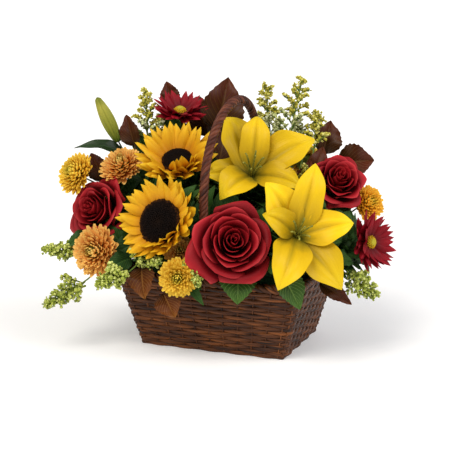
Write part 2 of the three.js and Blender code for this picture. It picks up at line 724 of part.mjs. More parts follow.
const MUMS = {
  mum_far_left: { at: [-188, 73, -6], turn: -46, tilt: 20, size: 27, colour: COLOURS.gold },
  mum_upper_left: { at: [-131, 84, -2], turn: -18, tilt: 44, size: 28, colour: COLOURS.bronze },
  mum_lower_left: { at: [-164, -22, 46], turn: -30, tilt: 0, size: 31, colour: COLOURS.bronze },
  mum_front_bronze: { at: [-60, -21, 71], turn: -6, tilt: 20, size: 21, colour: COLOURS.bronze },
  mum_front_gold: { at: [-63, -54, 105], turn: -6, tilt: -8, size: 23, colour: COLOURS.gold },
  mum_right: { at: [168, 37, 4], turn: 36, tilt: 12, size: 23, colour: COLOURS.gold },
  mum_back_bronze: { at: [84, 20, -118], turn: 160, tilt: 16, size: 30, colour: COLOURS.bronze },
  mum_back_gold: { at: [92, 88, -84], turn: 160, tilt: 40, size: 28, colour: COLOURS.gold },
};

Object.entries(MUMS).forEach(([name, place], k) => {
  addMesh(name, mumHead(place.size, k + 11), place.colour, 0.7, bloomFrame(place));
});

// A branched stem that carries the heads of one spray, each in a small green cup.
const MUM_SPRAYS = {
  mum_left_stem: ["mum_upper_left", "mum_far_left"],
  mum_lower_left_stem: ["mum_lower_left"],
  mum_front_stem: ["mum_front_bronze", "mum_front_gold"],
  mum_right_stem: ["mum_right"],
  mum_back_stem: ["mum_back_bronze", "mum_back_gold"],
};

function mumSpray(heads) {
  const parts = [];
  let main = null;
  for (const head of heads) {
    const place = MUMS[head];
    const frame = bloomFrame(place);
    const under = -place.size * MUM.under - 1.1 - GAP;
    const wide = place.size * MUM.cup;
    parts.push(solid(turned([[1.6, under - 5], [wide, under - 3], [wide, under]], 6), frame));
    const end = point(0, 0, under - 3.6).applyMatrix4(frame);
    const out = facing(place.turn, place.tilt);
    if (!main) {
      main = stemPath(end, out, MUM.mainStem);
      parts.push(solid(tube(main, MUM.mainStem, 5)));
      continue;
    }
    const fork = main[2];
    const bend = end.clone().addScaledVector(out, -0.36 * fork.distanceTo(end));
    const branch = new THREE.QuadraticBezierCurve3(fork, bend, end);
    parts.push(solid(tube(branch.getPoints(4), MUM.branch, 5)));
  }
  return join(parts);
}

for (const [name, heads] of Object.entries(MUM_SPRAYS)) {
  addMesh(name, mumSpray(heads), COLOURS.stem, 0.7);
}

// ---------------------------------------------------------------- solidago

const PLUME = { branches: 5, stem: 1.5, shorter: 0.6 };

// A plume: side branches of small florets, shorter towards the tip, leaning out from the stem.
function plume(place, seed) {
  const draw = seeded(seed);
  const tip = seen(...place.tip);
  const from = seen(...place.from);
  const out = tip.clone().sub(from);
  const length = out.length();
  out.normalize();
  const path = stemPath(from, out, PLUME.stem, place.slope, place.shift);
  const stem = [...path, from.clone().lerp(tip, 0.5), tip];
  const parts = [solid(tube(stem, PLUME.stem, 4))];
  const side = point(0, 0, 1).cross(out).normalize();
  for (let k = 0; k < PLUME.branches; k += 1) {
    const share = k / (PLUME.branches - 1);
    const start = from.clone().addScaledVector(out, length * (share * 0.92));
    const spread = side.clone().applyAxisAngle(out, k * GOLDEN_TURN);
    const reach = place.wide * (1 - PLUME.shorter * share) * (0.85 + 0.3 * draw());
    const beads = [[0, 0.9], [0.42, 4.4], [0.7, 1.6], [0.92, 3.6], [1.2, 0]].map(([s, r]) => {
      const p = start.clone().addScaledVector(spread, reach * s)
        .addScaledVector(out, reach * (0.25 * s + 0.75 * s * s));
      return { p, r };
    });
    parts.push(solid(tube(beads.map((b) => b.p), (s, i) => beads[i].r, 3)));
  }
  return join(parts);
}

const PLUMES = {
  solidago_top_left: { from: [-99, 118, -38], tip: [-101, 171, -36], wide: 15 },
  solidago_top_middle: { from: [48, 124, -56], tip: [42, 176, -54], wide: 15 },
  solidago_top_right: { from: [74, 126, -10], tip: [87, 184, -16], wide: 17 },
  solidago_right: { from: [101, 104, -10], tip: [104, 143, -20], wide: 15 },
  solidago_left: { from: [-188, -24, 12], tip: [-225, -19, 14], wide: 10, slope: 0.9 },
  solidago_low_left: { from: [-180, -62, 26], tip: [-222, -88, 34], wide: 15, slope: 0.95, shift: -6 },
  solidago_front_left: { from: [-128, -50, 78], tip: [-160, -62, 92], wide: 12, slope: 1, shift: -12 },
  solidago_low_right: { from: [143, -52, 70], tip: [176, -77, 72], wide: 14, slope: 0.95 },
};

Object.entries(PLUMES).forEach(([name, place], k) => {
  addMesh(name, plume(place, k + 31), COLOURS.plume, 0.85);
});

// ---------------------------------------------------------------- leaves

const TWIG_RADIUS = 1.5;
const STALK_RADIUS = 1.2;
const COPPER_WAVE = 1.2;
const GREEN_WAVE = 0.5;

// A sprig: a stem that ends in the first leaf, with the other leaves on short stalks along it.
function sprig(place, wave) {
  const [first] = place.leaves;
  const root = seen(...first.root);
  const tip = seen(...first.tip);
  const out = tip.clone().sub(root).normalize();
  const path = stemPath(root, out, TWIG_RADIUS, place.slope, place.shift);
  const parts = [solid(tube([...path, root.clone().addScaledVector(out, 5)], TWIG_RADIUS, 4))];
  place.leaves.forEach((one, k) => {
    const start = seen(...one.root);
    const end = seen(...one.tip);
    const up = facing(one.turn, one.tilt);
    parts.push(leaf(start, end, one.wide, up, wave, one.curl));
    if (k > 0) {
      const joint = path[one.fork];
      const middle = joint.clone().lerp(start, 0.5).add(point(0, 0, 2));
      const inside = start.clone().lerp(end, 0.08);
      parts.push(solid(tube([joint, middle, inside], STALK_RADIUS, 4)));
    }
  });
  return join(parts);
}

const COPPER = {
  copper_back: {
    leaves: [
      { root: [-16, 122, -52], tip: [-2, 187, -48], wide: 56, turn: 10, tilt: 20, curl: 0.08 },
      { root: [-68, 152, -68], tip: [-76, 182, -68], wide: 26, turn: -10, tilt: 20, curl: 0.05, fork: 3 },
    ],
  },
  copper_left: {
    shift: -4,
    leaves: [
      { root: [-114, 104, -28], tip: [-124, 142, -31], wide: 26, turn: -20, tilt: 20, curl: 0.06 },
      { root: [-150, 62, -30], tip: [-166, 96, -42], wide: 28, turn: -20, tilt: 15, curl: 0.06, fork: 3 },
    ],
  },
  copper_right: {
    leaves: [
      { root: [112, 96, -22], tip: [122, 135, -30], wide: 28, turn: 20, tilt: 15, curl: 0.06 },
      { root: [134, 82, -22], tip: [174, 78, -26], wide: 30, turn: 10, tilt: 40, curl: 0.1, fork: 3 },
    ],
  },
  copper_front: {
    slope: 1,
    shift: 5,
    leaves: [
      { root: [-106, -42, 66], tip: [-102, -80, 80], wide: 34, turn: -10, tilt: 10, curl: 0.1 },
      { root: [-80, -72, 84], tip: [-66, -102, 84], wide: 32, turn: 0, tilt: 5, curl: 0.06, fork: 3 },
    ],
  },
};

for (const [name, place] of Object.entries(COPPER)) {
  addMesh(name, sprig(place, COPPER_WAVE), COLOURS.copper, 0.6);
}

const GREENS = {
  green_leaf_front: {
    slope: 1,
    leaves: [{ root: [10, -46, 86], tip: [9, -86, 98], wide: 44, turn: 0, tilt: 20, curl: 0.1 }],
  },
  green_leaf_right: {
    slope: 1,
    leaves: [{ root: [62, -50, 100], tip: [84, -92, 104], wide: 34, turn: 10, tilt: 20, curl: 0.08 }],
  },
};

for (const [name, place] of Object.entries(GREENS)) {
  addMesh(name, sprig(place, GREEN_WAVE), COLOURS.leaf, 0.6);
}

// ---------------------------------------------------------------- the holder, holed for the stems

addMesh("basket_shell", basketShell(), COLOURS.wicker, 0.8);
addMesh("basket_rim", basketRim(), COLOURS.rim, 0.8);
addMesh("basket_handle", basketHandle(), COLOURS.handle, 0.8);
addMesh("liner", liner(), COLOURS.liner, 0.4);
addMesh("foam", holes.reduce((block, hole) => block.subtract(hole), foamBlock()), COLOURS.foam, 0.95);

export default arrangement;
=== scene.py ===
import math

import bpy
import numpy as np
from mathutils import Matrix, Vector
from mathutils.bvhtree import BVHTree


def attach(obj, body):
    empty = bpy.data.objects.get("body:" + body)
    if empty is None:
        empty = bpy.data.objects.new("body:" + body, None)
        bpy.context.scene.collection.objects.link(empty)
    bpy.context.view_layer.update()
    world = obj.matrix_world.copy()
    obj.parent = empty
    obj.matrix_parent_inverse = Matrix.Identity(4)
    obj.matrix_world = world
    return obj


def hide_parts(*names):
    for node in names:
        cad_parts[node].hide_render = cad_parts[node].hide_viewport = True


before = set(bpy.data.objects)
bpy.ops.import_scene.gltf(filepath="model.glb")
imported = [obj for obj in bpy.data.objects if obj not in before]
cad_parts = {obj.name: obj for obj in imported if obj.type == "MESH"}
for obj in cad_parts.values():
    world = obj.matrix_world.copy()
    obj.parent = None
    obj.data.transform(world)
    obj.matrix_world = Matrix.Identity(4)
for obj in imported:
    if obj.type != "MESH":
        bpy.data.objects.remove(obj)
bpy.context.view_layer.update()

# ---------------------------------------------------------------- basket wall
# The wall of the basket: courses of split willow, stained dark brown and lacquered, woven over and
# under upright willow stakes. The stakes stand in the base and end under the border.

WALL_FOOT = (184, 129, 9)  # length, depth and corner radius, in mm
WALL_MOUTH = (231, 170, 14)
WALL_HEIGHT = 84
COURSES = 18
STAKES_LONG = 10  # steps between stakes along a long and along a short side
STAKES_SHORT = 7
WEAVER_HALF_HIGH = 2.5
WEAVER_HALF_THICK = 1.15
WEAVE = 1.2  # how far a course goes out and in
STAKE_RADIUS = 1.15


def linear(colour):
    """An sRGB hex colour as the linear red, green, blue and alpha that a node takes."""
    parts = [int(colour[i:i + 2], 16) / 255 for i in (1, 3, 5)]
    return (*(c / 12.92 if c <= 0.04045 else ((c + 0.055) / 1.055) ** 2.4 for c in parts), 1.0)


def add(tree, kind, sockets=None, stops=None, **settings):
    """A node with its settings, the stops of its ramp, and a link or a value for each named socket."""
    made = tree.nodes.new(kind)
    for key, value in settings.items():
        setattr(made, key, value)
    for key, value in (sockets or {}).items():
        if isinstance(value, bpy.types.NodeSocket):
            tree.links.new(value, made.inputs[key])
        else:
            made.inputs[key].default_value = value
    if stops:
        elements = made.color_ramp.elements
        while len(elements) < len(stops):
            elements.new(0.5)
        for element, (place, colour) in zip(elements, stops):
            element.position = place
            element.color = linear(colour)
    return made


def growth(name, inputs):
    """A geometry tree with its named inputs, its group input node and its output node."""
    tree = bpy.data.node_groups.new(name, "GeometryNodeTree")
    tree.interface.new_socket(name="Geometry", in_out="INPUT", socket_type="NodeSocketGeometry")
    for label, (kind, value) in inputs.items():
        socket = tree.interface.new_socket(name=label, in_out="INPUT", socket_type="NodeSocket" + kind)
        if value is not None:
            socket.default_value = value
    tree.interface.new_socket(name="Geometry", in_out="OUTPUT", socket_type="NodeSocketGeometry")
    return tree, tree.nodes.new("NodeGroupInput").outputs, tree.nodes.new("NodeGroupOutput").inputs


def close_growth(tree, shape, given, out):
    """The end of every tree: plain mesh, smooth faces and the finish."""
    plain = add(tree, "GeometryNodeRealizeInstances", {"Geometry": shape})
    smooth = add(tree, "GeometryNodeSetShadeSmooth", {"Geometry": plain.outputs[0]})
    finished = add(tree, "GeometryNodeSetMaterial", {"Geometry": smooth.outputs[0], "Material": given["Finish"]})
    tree.links.new(finished.outputs[0], out["Geometry"])


def strand_tree(name, level):
    """Rods along lines: woven in and out, or twisted round their line, with an oval section."""
    tree, given, out = growth(name, {
        "Step": ("Float", 2.0), "Half High": ("Float", 1.0), "Half Thick": ("Float", 1.0),
        "Sides": ("Int", 8), "Weave": ("Float", 0.0), "Twist Radius": ("Float", 0.0),
        "Twist Turns": ("Float", 0.0), "Wander": ("Float", 0.0), "Seed": ("Float", 0.0),
        "Finish": ("Material", None),
    })
    curve = add(tree, "GeometryNodeMeshToCurve", {"Mesh": given["Geometry"]})
    curve = add(tree, "GeometryNodeResampleCurve", {"Curve": curve.outputs[0], "Length": given["Step"]},
                mode="LENGTH")
    curve = add(tree, "GeometryNodeSetCurveNormal", {"Curve": curve.outputs[0]},
                mode="Z_UP" if level else "MINIMUM_TWIST")
    run = add(tree, "GeometryNodeSplineParameter")
    curve = add(tree, "GeometryNodeStoreNamedAttribute",
                {"Geometry": curve.outputs[0], "Name": "run", "Value": run.outputs["Length"]}, data_type="FLOAT")
    outward = add(tree, "GeometryNodeInputNamedAttribute", {"Name": "outward"}, data_type="FLOAT_VECTOR")
    beat = add(tree, "GeometryNodeInputNamedAttribute", {"Name": "beat"}, data_type="FLOAT")
    swing = add(tree, "ShaderNodeMath", {0: beat.outputs[0]}, operation="COSINE")
    swing = add(tree, "ShaderNodeMath", {0: swing.outputs[0], 1: given["Weave"]}, operation="MULTIPLY")
    woven = add(tree, "ShaderNodeVectorMath", {0: outward.outputs[0], "Scale": swing.outputs[0]},
                operation="SCALE")
    phase = add(tree, "GeometryNodeInputNamedAttribute", {"Name": "phase"}, data_type="FLOAT")
    turned = add(tree, "ShaderNodeMath", {0: run.outputs["Factor"], 1: given["Twist Turns"]},
                 operation="MULTIPLY")
    angle = add(tree, "ShaderNodeMath", {0: turned.outputs[0], 1: math.tau, 2: phase.outputs[0]},
                operation="MULTIPLY_ADD")
    normal = add(tree, "GeometryNodeInputNormal")
    tangent = add(tree, "GeometryNodeInputTangent")
    side = add(tree, "ShaderNodeVectorMath", {0: tangent.outputs[0], 1: normal.outputs[0]},
               operation="CROSS_PRODUCT")
    twisted = []
    for operation, way in (("COSINE", normal), ("SINE", side)):
        share = add(tree, "ShaderNodeMath", {0: angle.outputs[0]}, operation=operation)
        share = add(tree, "ShaderNodeMath", {0: share.outputs[0], 1: given["Twist Radius"]}, operation="MULTIPLY")
        twisted.append(add(tree, "ShaderNodeVectorMath", {0: way.outputs[0], "Scale": share.outputs[0]},
                           operation="SCALE"))
    shift = add(tree, "ShaderNodeVectorMath", {0: twisted[0].outputs[0], 1: twisted[1].outputs[0]})
    shift = add(tree, "ShaderNodeVectorMath", {0: shift.outputs[0], 1: woven.outputs[0]})
    noise = add(tree, "ShaderNodeTexNoise", {"W": given["Seed"], "Scale": 0.06, "Detail": 1.0},
                noise_dimensions="4D")
    stray = add(tree, "ShaderNodeVectorMath", {0: noise.outputs["Color"], 1: (0.5, 0.5, 0.5)},
                operation="SUBTRACT")
    stray = add(tree, "ShaderNodeVectorMath", {0: stray.outputs[0], "Scale": given["Wander"]}, operation="SCALE")
    shift = add(tree, "ShaderNodeVectorMath", {0: shift.outputs[0], 1: stray.outputs[0]})
    curve = add(tree, "GeometryNodeSetPosition", {"Geometry": curve.outputs[0], "Offset": shift.outputs[0]})
    girth = add(tree, "GeometryNodeInputNamedAttribute", {"Name": "girth"}, data_type="FLOAT")
    curve = add(tree, "GeometryNodeSetCurveRadius", {"Curve": curve.outputs[0], "Radius": girth.outputs[0]})
    section = add(tree, "GeometryNodeCurvePrimitiveCircle", {"Resolution": given["Sides"], "Radius": 1.0})
    around = add(tree, "GeometryNodeSplineParameter")
    section = add(tree, "GeometryNodeStoreNamedAttribute",
                  {"Geometry": section.outputs[0], "Name": "around", "Value": around.outputs["Factor"]},
                  data_type="FLOAT")
    size = add(tree, "ShaderNodeCombineXYZ", {"X": given["Half Thick"], "Y": given["Half High"], "Z": 1.0})
    section = add(tree, "GeometryNodeTransform", {"Geometry": section.outputs[0], "Scale": size.outputs[0]})
    rod = add(tree, "GeometryNodeCurveToMesh",
              {"Curve": curve.outputs[0], "Profile Curve": section.outputs[0], "Fill Caps": True})
    close_growth(tree, rod.outputs[0], given, out)
    return tree


LEVEL_STRANDS = strand_tree("level strands", True)
FREE_STRANDS = strand_tree("free strands", False)


def lines_mesh(lines, closed=False):
    """Lines as a mesh of edges. Each line is its points and the values that its points carry."""
    points, edges, values = [], [], {}
    for line, carried in lines:
        first = len(points)
        points.extend(map(tuple, line))
        edges.extend((first + i, first + i + 1) for i in range(len(line) - 1))
        if closed:
            edges.append((first + len(line) - 1, first))
        for key, value in {"girth": 1.0, "tone": 0.5, **carried}.items():
            values.setdefault(key, []).extend(value if np.ndim(value) else [value] * len(line))
    mesh = bpy.data.meshes.new("lines")
    mesh.from_pydata(points, edges, [])
    for key, value in values.items():
        value = np.array(value, np.float32)
        if value.ndim == 2:
            mesh.attributes.new(key, "FLOAT_VECTOR", "POINT").data.foreach_set("vector", value.ravel())
        else:
            mesh.attributes.new(key, "FLOAT", "POINT").data.foreach_set("value", value)
    return mesh


def grow(name, mesh, tree, place=None, **inputs):
    """The tree's result on a mesh in mm, as a plain piece in metres at its place."""
    piece = bpy.data.objects.new(name, mesh)
    bpy.context.scene.collection.objects.link(piece)
    modifier = piece.modifiers.new("growth", "NODES")
    modifier.node_group = tree
    for item in tree.interface.items_tree:
        if item.in_out == "INPUT" and item.name.replace(" ", "_").lower() in inputs:
            modifier[item.identifier] = inputs[item.name.replace(" ", "_").lower()]
    depsgraph = bpy.context.evaluated_depsgraph_get()
    made = bpy.data.meshes.new_from_object(
        piece.evaluated_get(depsgraph), preserve_all_data_layers=True, depsgraph=depsgraph)
    piece.modifiers.clear()
    piece.data = made
    made.transform(Matrix.Scale(0.001, 4) @ (place or Matrix.Identity(4)))
    return piece


def stand_for(piece, slot, *nodes):
    """The piece rides on the object's one body and stands for its solids; the finish slot is not used."""
    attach(piece, "root")
    if nodes:
        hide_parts(*nodes)
    return piece


def rounded(long, deep, corner, fine=1):
    """Points round a level rounded oblong, a stake apart or finer, and the outward way at each."""
    points, ways = [], []
    for side, (sx, sy) in enumerate(((1, 1), (-1, 1), (-1, -1), (1, -1))):
        bend = (side + np.linspace(0, 1, 2 * fine + 1)) * math.pi / 2
        level = np.stack([np.cos(bend), np.sin(bend)], -1)
        arc = (sx * (long / 2 - corner), sy * (deep / 2 - corner)) + corner * level
        steps = (STAKES_SHORT if side % 2 else STAKES_LONG) * fine
        run = (0, -sy * (deep - 2 * corner)) if side % 2 else (-sx * (long - 2 * corner), 0)
        straight = arc[-1] + np.outer(np.arange(1, steps) / steps, run)
        points += [*arc, *straight]
        ways += [*level, *(level[-1:].repeat(steps - 1, 0))]
    flat = np.zeros((len(points), 1))
    return np.hstack([points, flat]), np.hstack([ways, flat])


def wall_at(height, inset, fine=1):
    """The wall's oblong at a height, moved in."""
    share = height / WALL_HEIGHT
    long, deep, corner = (a + (b - a) * share for a, b in zip(WALL_FOOT, WALL_MOUTH))
    points, ways = rounded(long - 2 * inset, deep - 2 * inset, corner - inset, fine)
    return points + (0, 0, height), ways


def lacquered_willow(name, dark, middle, light):
    """Stained and lacquered willow: brown streaks that run along each rod, and a soft broken gloss."""
    made = bpy.data.materials.new(name)
    made.use_nodes = True
    tree = made.node_tree
    shader = tree.nodes["Principled BSDF"]
    run = add(tree, "ShaderNodeAttribute", attribute_name="run")
    around = add(tree, "ShaderNodeAttribute", attribute_name="around")
    tone = add(tree, "ShaderNodeAttribute", attribute_name="tone")
    along = add(tree, "ShaderNodeMath", {0: run.outputs["Fac"], 1: 0.045}, operation="MULTIPLY")
    across = add(tree, "ShaderNodeMath", {0: around.outputs["Fac"], 1: 6.0}, operation="MULTIPLY")
    strand = add(tree, "ShaderNodeMath", {0: tone.outputs["Fac"], 1: 90.0}, operation="MULTIPLY")
    place = add(tree, "ShaderNodeCombineXYZ", {0: along.outputs[0], 1: across.outputs[0], 2: strand.outputs[0]})
    streaks = add(tree, "ShaderNodeTexNoise", {"Vector": place.outputs[0], "Scale": 1.0, "Detail": 4.0,
                                               "Roughness": 0.6})
    blotches = add(tree, "ShaderNodeTexNoise", {"Vector": place.outputs[0], "Scale": 0.45, "Detail": 1.0})
    blend = add(tree, "ShaderNodeMath", {0: blotches.outputs["Fac"], 1: 0.55, 2: 0.0}, operation="MULTIPLY_ADD")
    blend = add(tree, "ShaderNodeMath", {0: streaks.outputs["Fac"], 1: 0.5, 2: blend.outputs[0]},
                operation="MULTIPLY_ADD")
    colour = add(tree, "ShaderNodeValToRGB", {"Fac": blend.outputs[0]},
                 stops=[(0.36, dark), (0.5, middle), (0.66, light)])
    tree.links.new(colour.outputs["Color"], shader.inputs["Base Color"])
    gloss = add(tree, "ShaderNodeMapRange", {"Value": streaks.outputs["Fac"], "To Min": 0.38, "To Max": 0.62})
    tree.links.new(gloss.outputs[0], shader.inputs["Roughness"])
    ridges = add(tree, "ShaderNodeBump", {"Height": streaks.outputs["Fac"], "Strength": 0.5, "Distance": 0.0006})
    tree.links.new(ridges.outputs[0], shader.inputs["Normal"])
    shader.inputs["Specular IOR Level"].default_value = 0.2
    shader.inputs["Coat Weight"].default_value = 0.06
    shader.inputs["Coat Roughness"].default_value = 0.3
    return made


draw = np.random.default_rng(7)
WILLOW = lacquered_willow("stained split willow", "#120601", "#40200b", "#7a441a")
wall_line = 0.3 + WEAVE + WEAVER_HALF_THICK
courses = []
for course in range(COURSES):
    height = max((course + 0.5) * WALL_HEIGHT / COURSES, WEAVER_HALF_HIGH * 1.05 + 0.1)
    ring, ways = wall_at(height, wall_line, 5)
    beat = (np.arange(len(ring)) / 5 + course) * math.pi
    courses.append((ring, {"outward": ways, "beat": beat, "tone": draw.random(),
                           "girth": 0.95 + 0.08 * draw.random()}))
weavers = grow("basket_weavers", lines_mesh(courses, closed=True), LEVEL_STRANDS,
               step=2.0, half_high=WEAVER_HALF_HIGH, half_thick=WEAVER_HALF_THICK, sides=8,
               weave=WEAVE, wander=0.5, seed=3.0, finish=WILLOW)
stand_for(weavers, "wicker", "basket_shell")

stake_rings = [wall_at(height, wall_line)[0] for height in np.linspace(1.5, WALL_HEIGHT + 4, 12)]
stakes = grow("basket_stakes", lines_mesh([
    ([ring[k] for ring in stake_rings], {"tone": draw.random()}) for k in range(len(stake_rings[0]))]),
    FREE_STRANDS, step=6.0, half_high=STAKE_RADIUS, half_thick=STAKE_RADIUS, sides=6, finish=WILLOW)
stand_for(stakes, "wicker")

# ---------------------------------------------------------------- base board
# The bottom of the basket: a thin stained board with rounded edges that the stakes stand in.


def skin(name, rings, finish, slot, *nodes):
    """A closed skin over level rings of points in mm, from the top ring down to the bottom one."""
    count = len(rings[0])
    points = np.vstack(rings) * 0.001
    faces = [(i * count + (j + 1) % count, i * count + j, (i + 1) * count + j, (i + 1) * count + (j + 1) % count)
             for i in range(len(rings) - 1) for j in range(count)]
    faces.append(tuple(range(count)))
    faces.append(tuple(reversed(range(len(points) - count, len(points)))))
    mesh = bpy.data.meshes.new(name)
    mesh.from_pydata(points.tolist(), [], faces)
    mesh.shade_smooth()
    mesh.set_sharp_from_angle(angle=math.radians(40))
    mesh.materials.append(finish)
    piece = bpy.data.objects.new(name, mesh)
    bpy.context.scene.collection.objects.link(piece)
    return stand_for(piece, slot, *nodes)


board_wood = lacquered_willow("stained base board", "#150803", "#301808", "#4c2a14")
skin("basket_base", [wall_at(height, inset, 2)[0] for height, inset in
                     ((4.8, 7.5), (5.0, 7.0), (4.6, 6.4), (0.9, 6.4), (0.4, 7.0))], board_wood, "wicker")

# ---------------------------------------------------------------- border
# The border along the top of the wall: three willow rods twisted round each other over the stakes.

BORDER = (224, 163, 13)
BORDER_HEIGHT = 90
BORDER_RODS = 3
border_ring = rounded(*BORDER, 6)[0] + (0, 0, BORDER_HEIGHT)
border = grow("basket_border", lines_mesh([
    (border_ring, {"phase": k * math.tau / BORDER_RODS, "tone": draw.random()}) for k in range(BORDER_RODS)],
    closed=True), LEVEL_STRANDS, step=2.4, half_high=3.0, half_thick=3.0, sides=10, twist_radius=2.7,
    twist_turns=26, wander=0.8, seed=5.0, finish=WILLOW)
stand_for(border, "wicker", "basket_rim")

# ---------------------------------------------------------------- handle
# The fixed hoop: four thinner rods twisted into one round handle. Both feet are pushed down inside
# the wall.

HOOP_CROWN = 291
HOOP_REACH = 88
HOOP_LEAN = 8
HOOP_LIMB = ((62.5, 44), (66.2, 66), (69.6, 88), (74, 104), (81, 126), (86, 155), (88, 183))
HOOP_RODS = 4


def flowing(points, steps):
    """A smooth line through points, with a number of steps between each two."""
    points = [Vector(p) for p in points]
    ends = [points[0] * 2 - points[1], *points, points[-1] * 2 - points[-2]]
    line = []
    for a, b, c, d in zip(ends, ends[1:], ends[2:], ends[3:]):
        for k in range(steps):
            t = k / steps
            line.append(0.5 * ((2 * b) + (c - a) * t + (2 * a - 5 * b + 4 * c - d) * t * t
                               + (3 * b - a - 3 * c + d) * t ** 3))
    return [*line, points[-1]]


hoop_half = [(y, z) for y, z in HOOP_LIMB]
hoop_crown = [(HOOP_REACH * math.cos(a), HOOP_CROWN - HOOP_REACH + HOOP_REACH * math.sin(a))
              for a in np.linspace(math.pi, 0, 13)]
hoop_line = flowing([(HOOP_LEAN * max(0.0, (z - 100) / (HOOP_CROWN - 100)) ** 2, y, z) for y, z in
                     [*((-y, z) for y, z in hoop_half), *hoop_crown, *reversed(hoop_half)]], 6)
HOOP_WILLOW = lacquered_willow("stained willow rods of the hoop", "#1f0b05", "#4c2112", "#7c452e")
hoop = grow("basket_hoop", lines_mesh([
    (hoop_line, {"phase": k * math.tau / HOOP_RODS, "tone": draw.random()}) for k in range(HOOP_RODS)]),
    FREE_STRANDS, step=2.0, half_high=2.6, half_thick=2.6, sides=10, twist_radius=2.9, twist_turns=24,
    wander=0.6, seed=8.0, finish=HOOP_WILLOW)
stand_for(hoop, "wicker", "basket_handle")

# ---------------------------------------------------------------- liner and foam
# A thin black-green plastic liner keeps the water in, and a block of wet floral foam stands in it.


def plain_finish(name, low, high, scale, roughness, depth):
    """A finish whose colour varies with noise over the object, in mm, with a little relief."""
    made = bpy.data.materials.new(name)
    made.use_nodes = True
    tree = made.node_tree
    shader = tree.nodes["Principled BSDF"]
    place = add(tree, "ShaderNodeTexCoord")
    noise = add(tree, "ShaderNodeTexNoise", {"Vector": place.outputs["Object"], "Scale": 1000 / scale,
                                             "Detail": 5.0})
    colour = add(tree, "ShaderNodeValToRGB", {"Fac": noise.outputs["Fac"]}, stops=[(0.35, low), (0.65, high)])
    tree.links.new(colour.outputs["Color"], shader.inputs["Base Color"])
    shader.inputs["Roughness"].default_value = roughness
    shader.inputs["Specular IOR Level"].default_value = 0.25
    relief = add(tree, "ShaderNodeBump", {"Height": noise.outputs["Fac"], "Strength": 0.6,
                                          "Distance": depth * 0.001})
    tree.links.new(relief.outputs[0], shader.inputs["Normal"])
    return made


for node, finish in (("liner", plain_finish("polythene liner", "#10160f", "#1d281a", 30, 0.35, 0.3)),
                     ("foam", plain_finish("wet floral foam", "#16301a", "#2c5030", 2.5, 0.95, 0.8))):
    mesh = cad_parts[node].data
    mesh.materials.clear()
    mesh.materials.append(finish)

# ---------------------------------------------------------------- stems
# Cut stems pushed into the foam. Each leaves it upwards and bends to its bloom.

STEM_FOCUS = Vector((0, 0, 40))
STEM_DEPTH = 22
STEM_CLEAR = 14
FOAM_SIZE = (182, 110, 112)
EYE_TURN = math.radians(21)
EYE_RISE = math.radians(13.8)
EYE_FAR = 1800
AIM = Vector((0, 0, 130))
TOWARDS = Vector((math.sin(EYE_TURN) * math.cos(EYE_RISE), -math.cos(EYE_TURN) * math.cos(EYE_RISE),
                  math.sin(EYE_RISE)))
ACROSS = Vector((math.cos(EYE_TURN), math.sin(EYE_TURN), 0))
UP = TOWARDS.cross(ACROSS)


def seen(across, up, towards):
    """The point that is seen this far right and up of the middle, and this much nearer the eye."""
    flat = AIM + ACROSS * across + UP * up
    return flat.lerp(AIM + TOWARDS * EYE_FAR, towards / EYE_FAR)


def facing(turn, tilt):
    """The way a bloom looks, turned to the viewer's right and tilted up, in degrees."""
    right, lift = math.radians(turn), math.radians(tilt)
    return (ACROSS * math.sin(right) * math.cos(lift) + UP * math.sin(lift)
            + TOWARDS * math.cos(right) * math.cos(lift))


def bloom_frame(at, turn, tilt):
    """A bloom's own frame: +Z out of its face, +Y up in the view."""
    z = facing(turn, tilt)
    y = (UP - z * UP.dot(z)).normalized()
    x = y.cross(z)
    frame_matrix = Matrix((x, y, z)).transposed().to_4x4()
    frame_matrix.translation = seen(*at)
    return frame_matrix


def stem_path(end, way_out, slope=0.75, shift=0):
    """A stem's line from the bottom of its hole to the bloom, which it reaches along way_out."""
    way = end - STEM_FOCUS
    way.z = max(way.z, math.hypot(way.x, way.y) * slope)
    way.rotate(Matrix.Rotation(math.radians(shift), 3, "Z"))
    way.normalize()
    reach = min((FOAM_SIZE[2] - STEM_FOCUS.z) / max(way.z, 0.01), FOAM_SIZE[0] / 2 / max(abs(way.x), 0.01),
                FOAM_SIZE[1] / 2 / max(abs(way.y), 0.01))
    seat = STEM_FOCUS + way * reach
    clear = seat + way * STEM_CLEAR
    span = (end - clear).length
    a, b = clear + way * span * 0.35, end - way_out * span * 0.35
    line = [seat - way * STEM_DEPTH, seat]
    for t in np.linspace(0, 1, 12):
        line.append(clear * (1 - t) ** 3 + a * 3 * t * (1 - t) ** 2 + b * 3 * t * t * (1 - t) + end * t ** 3)
    return line


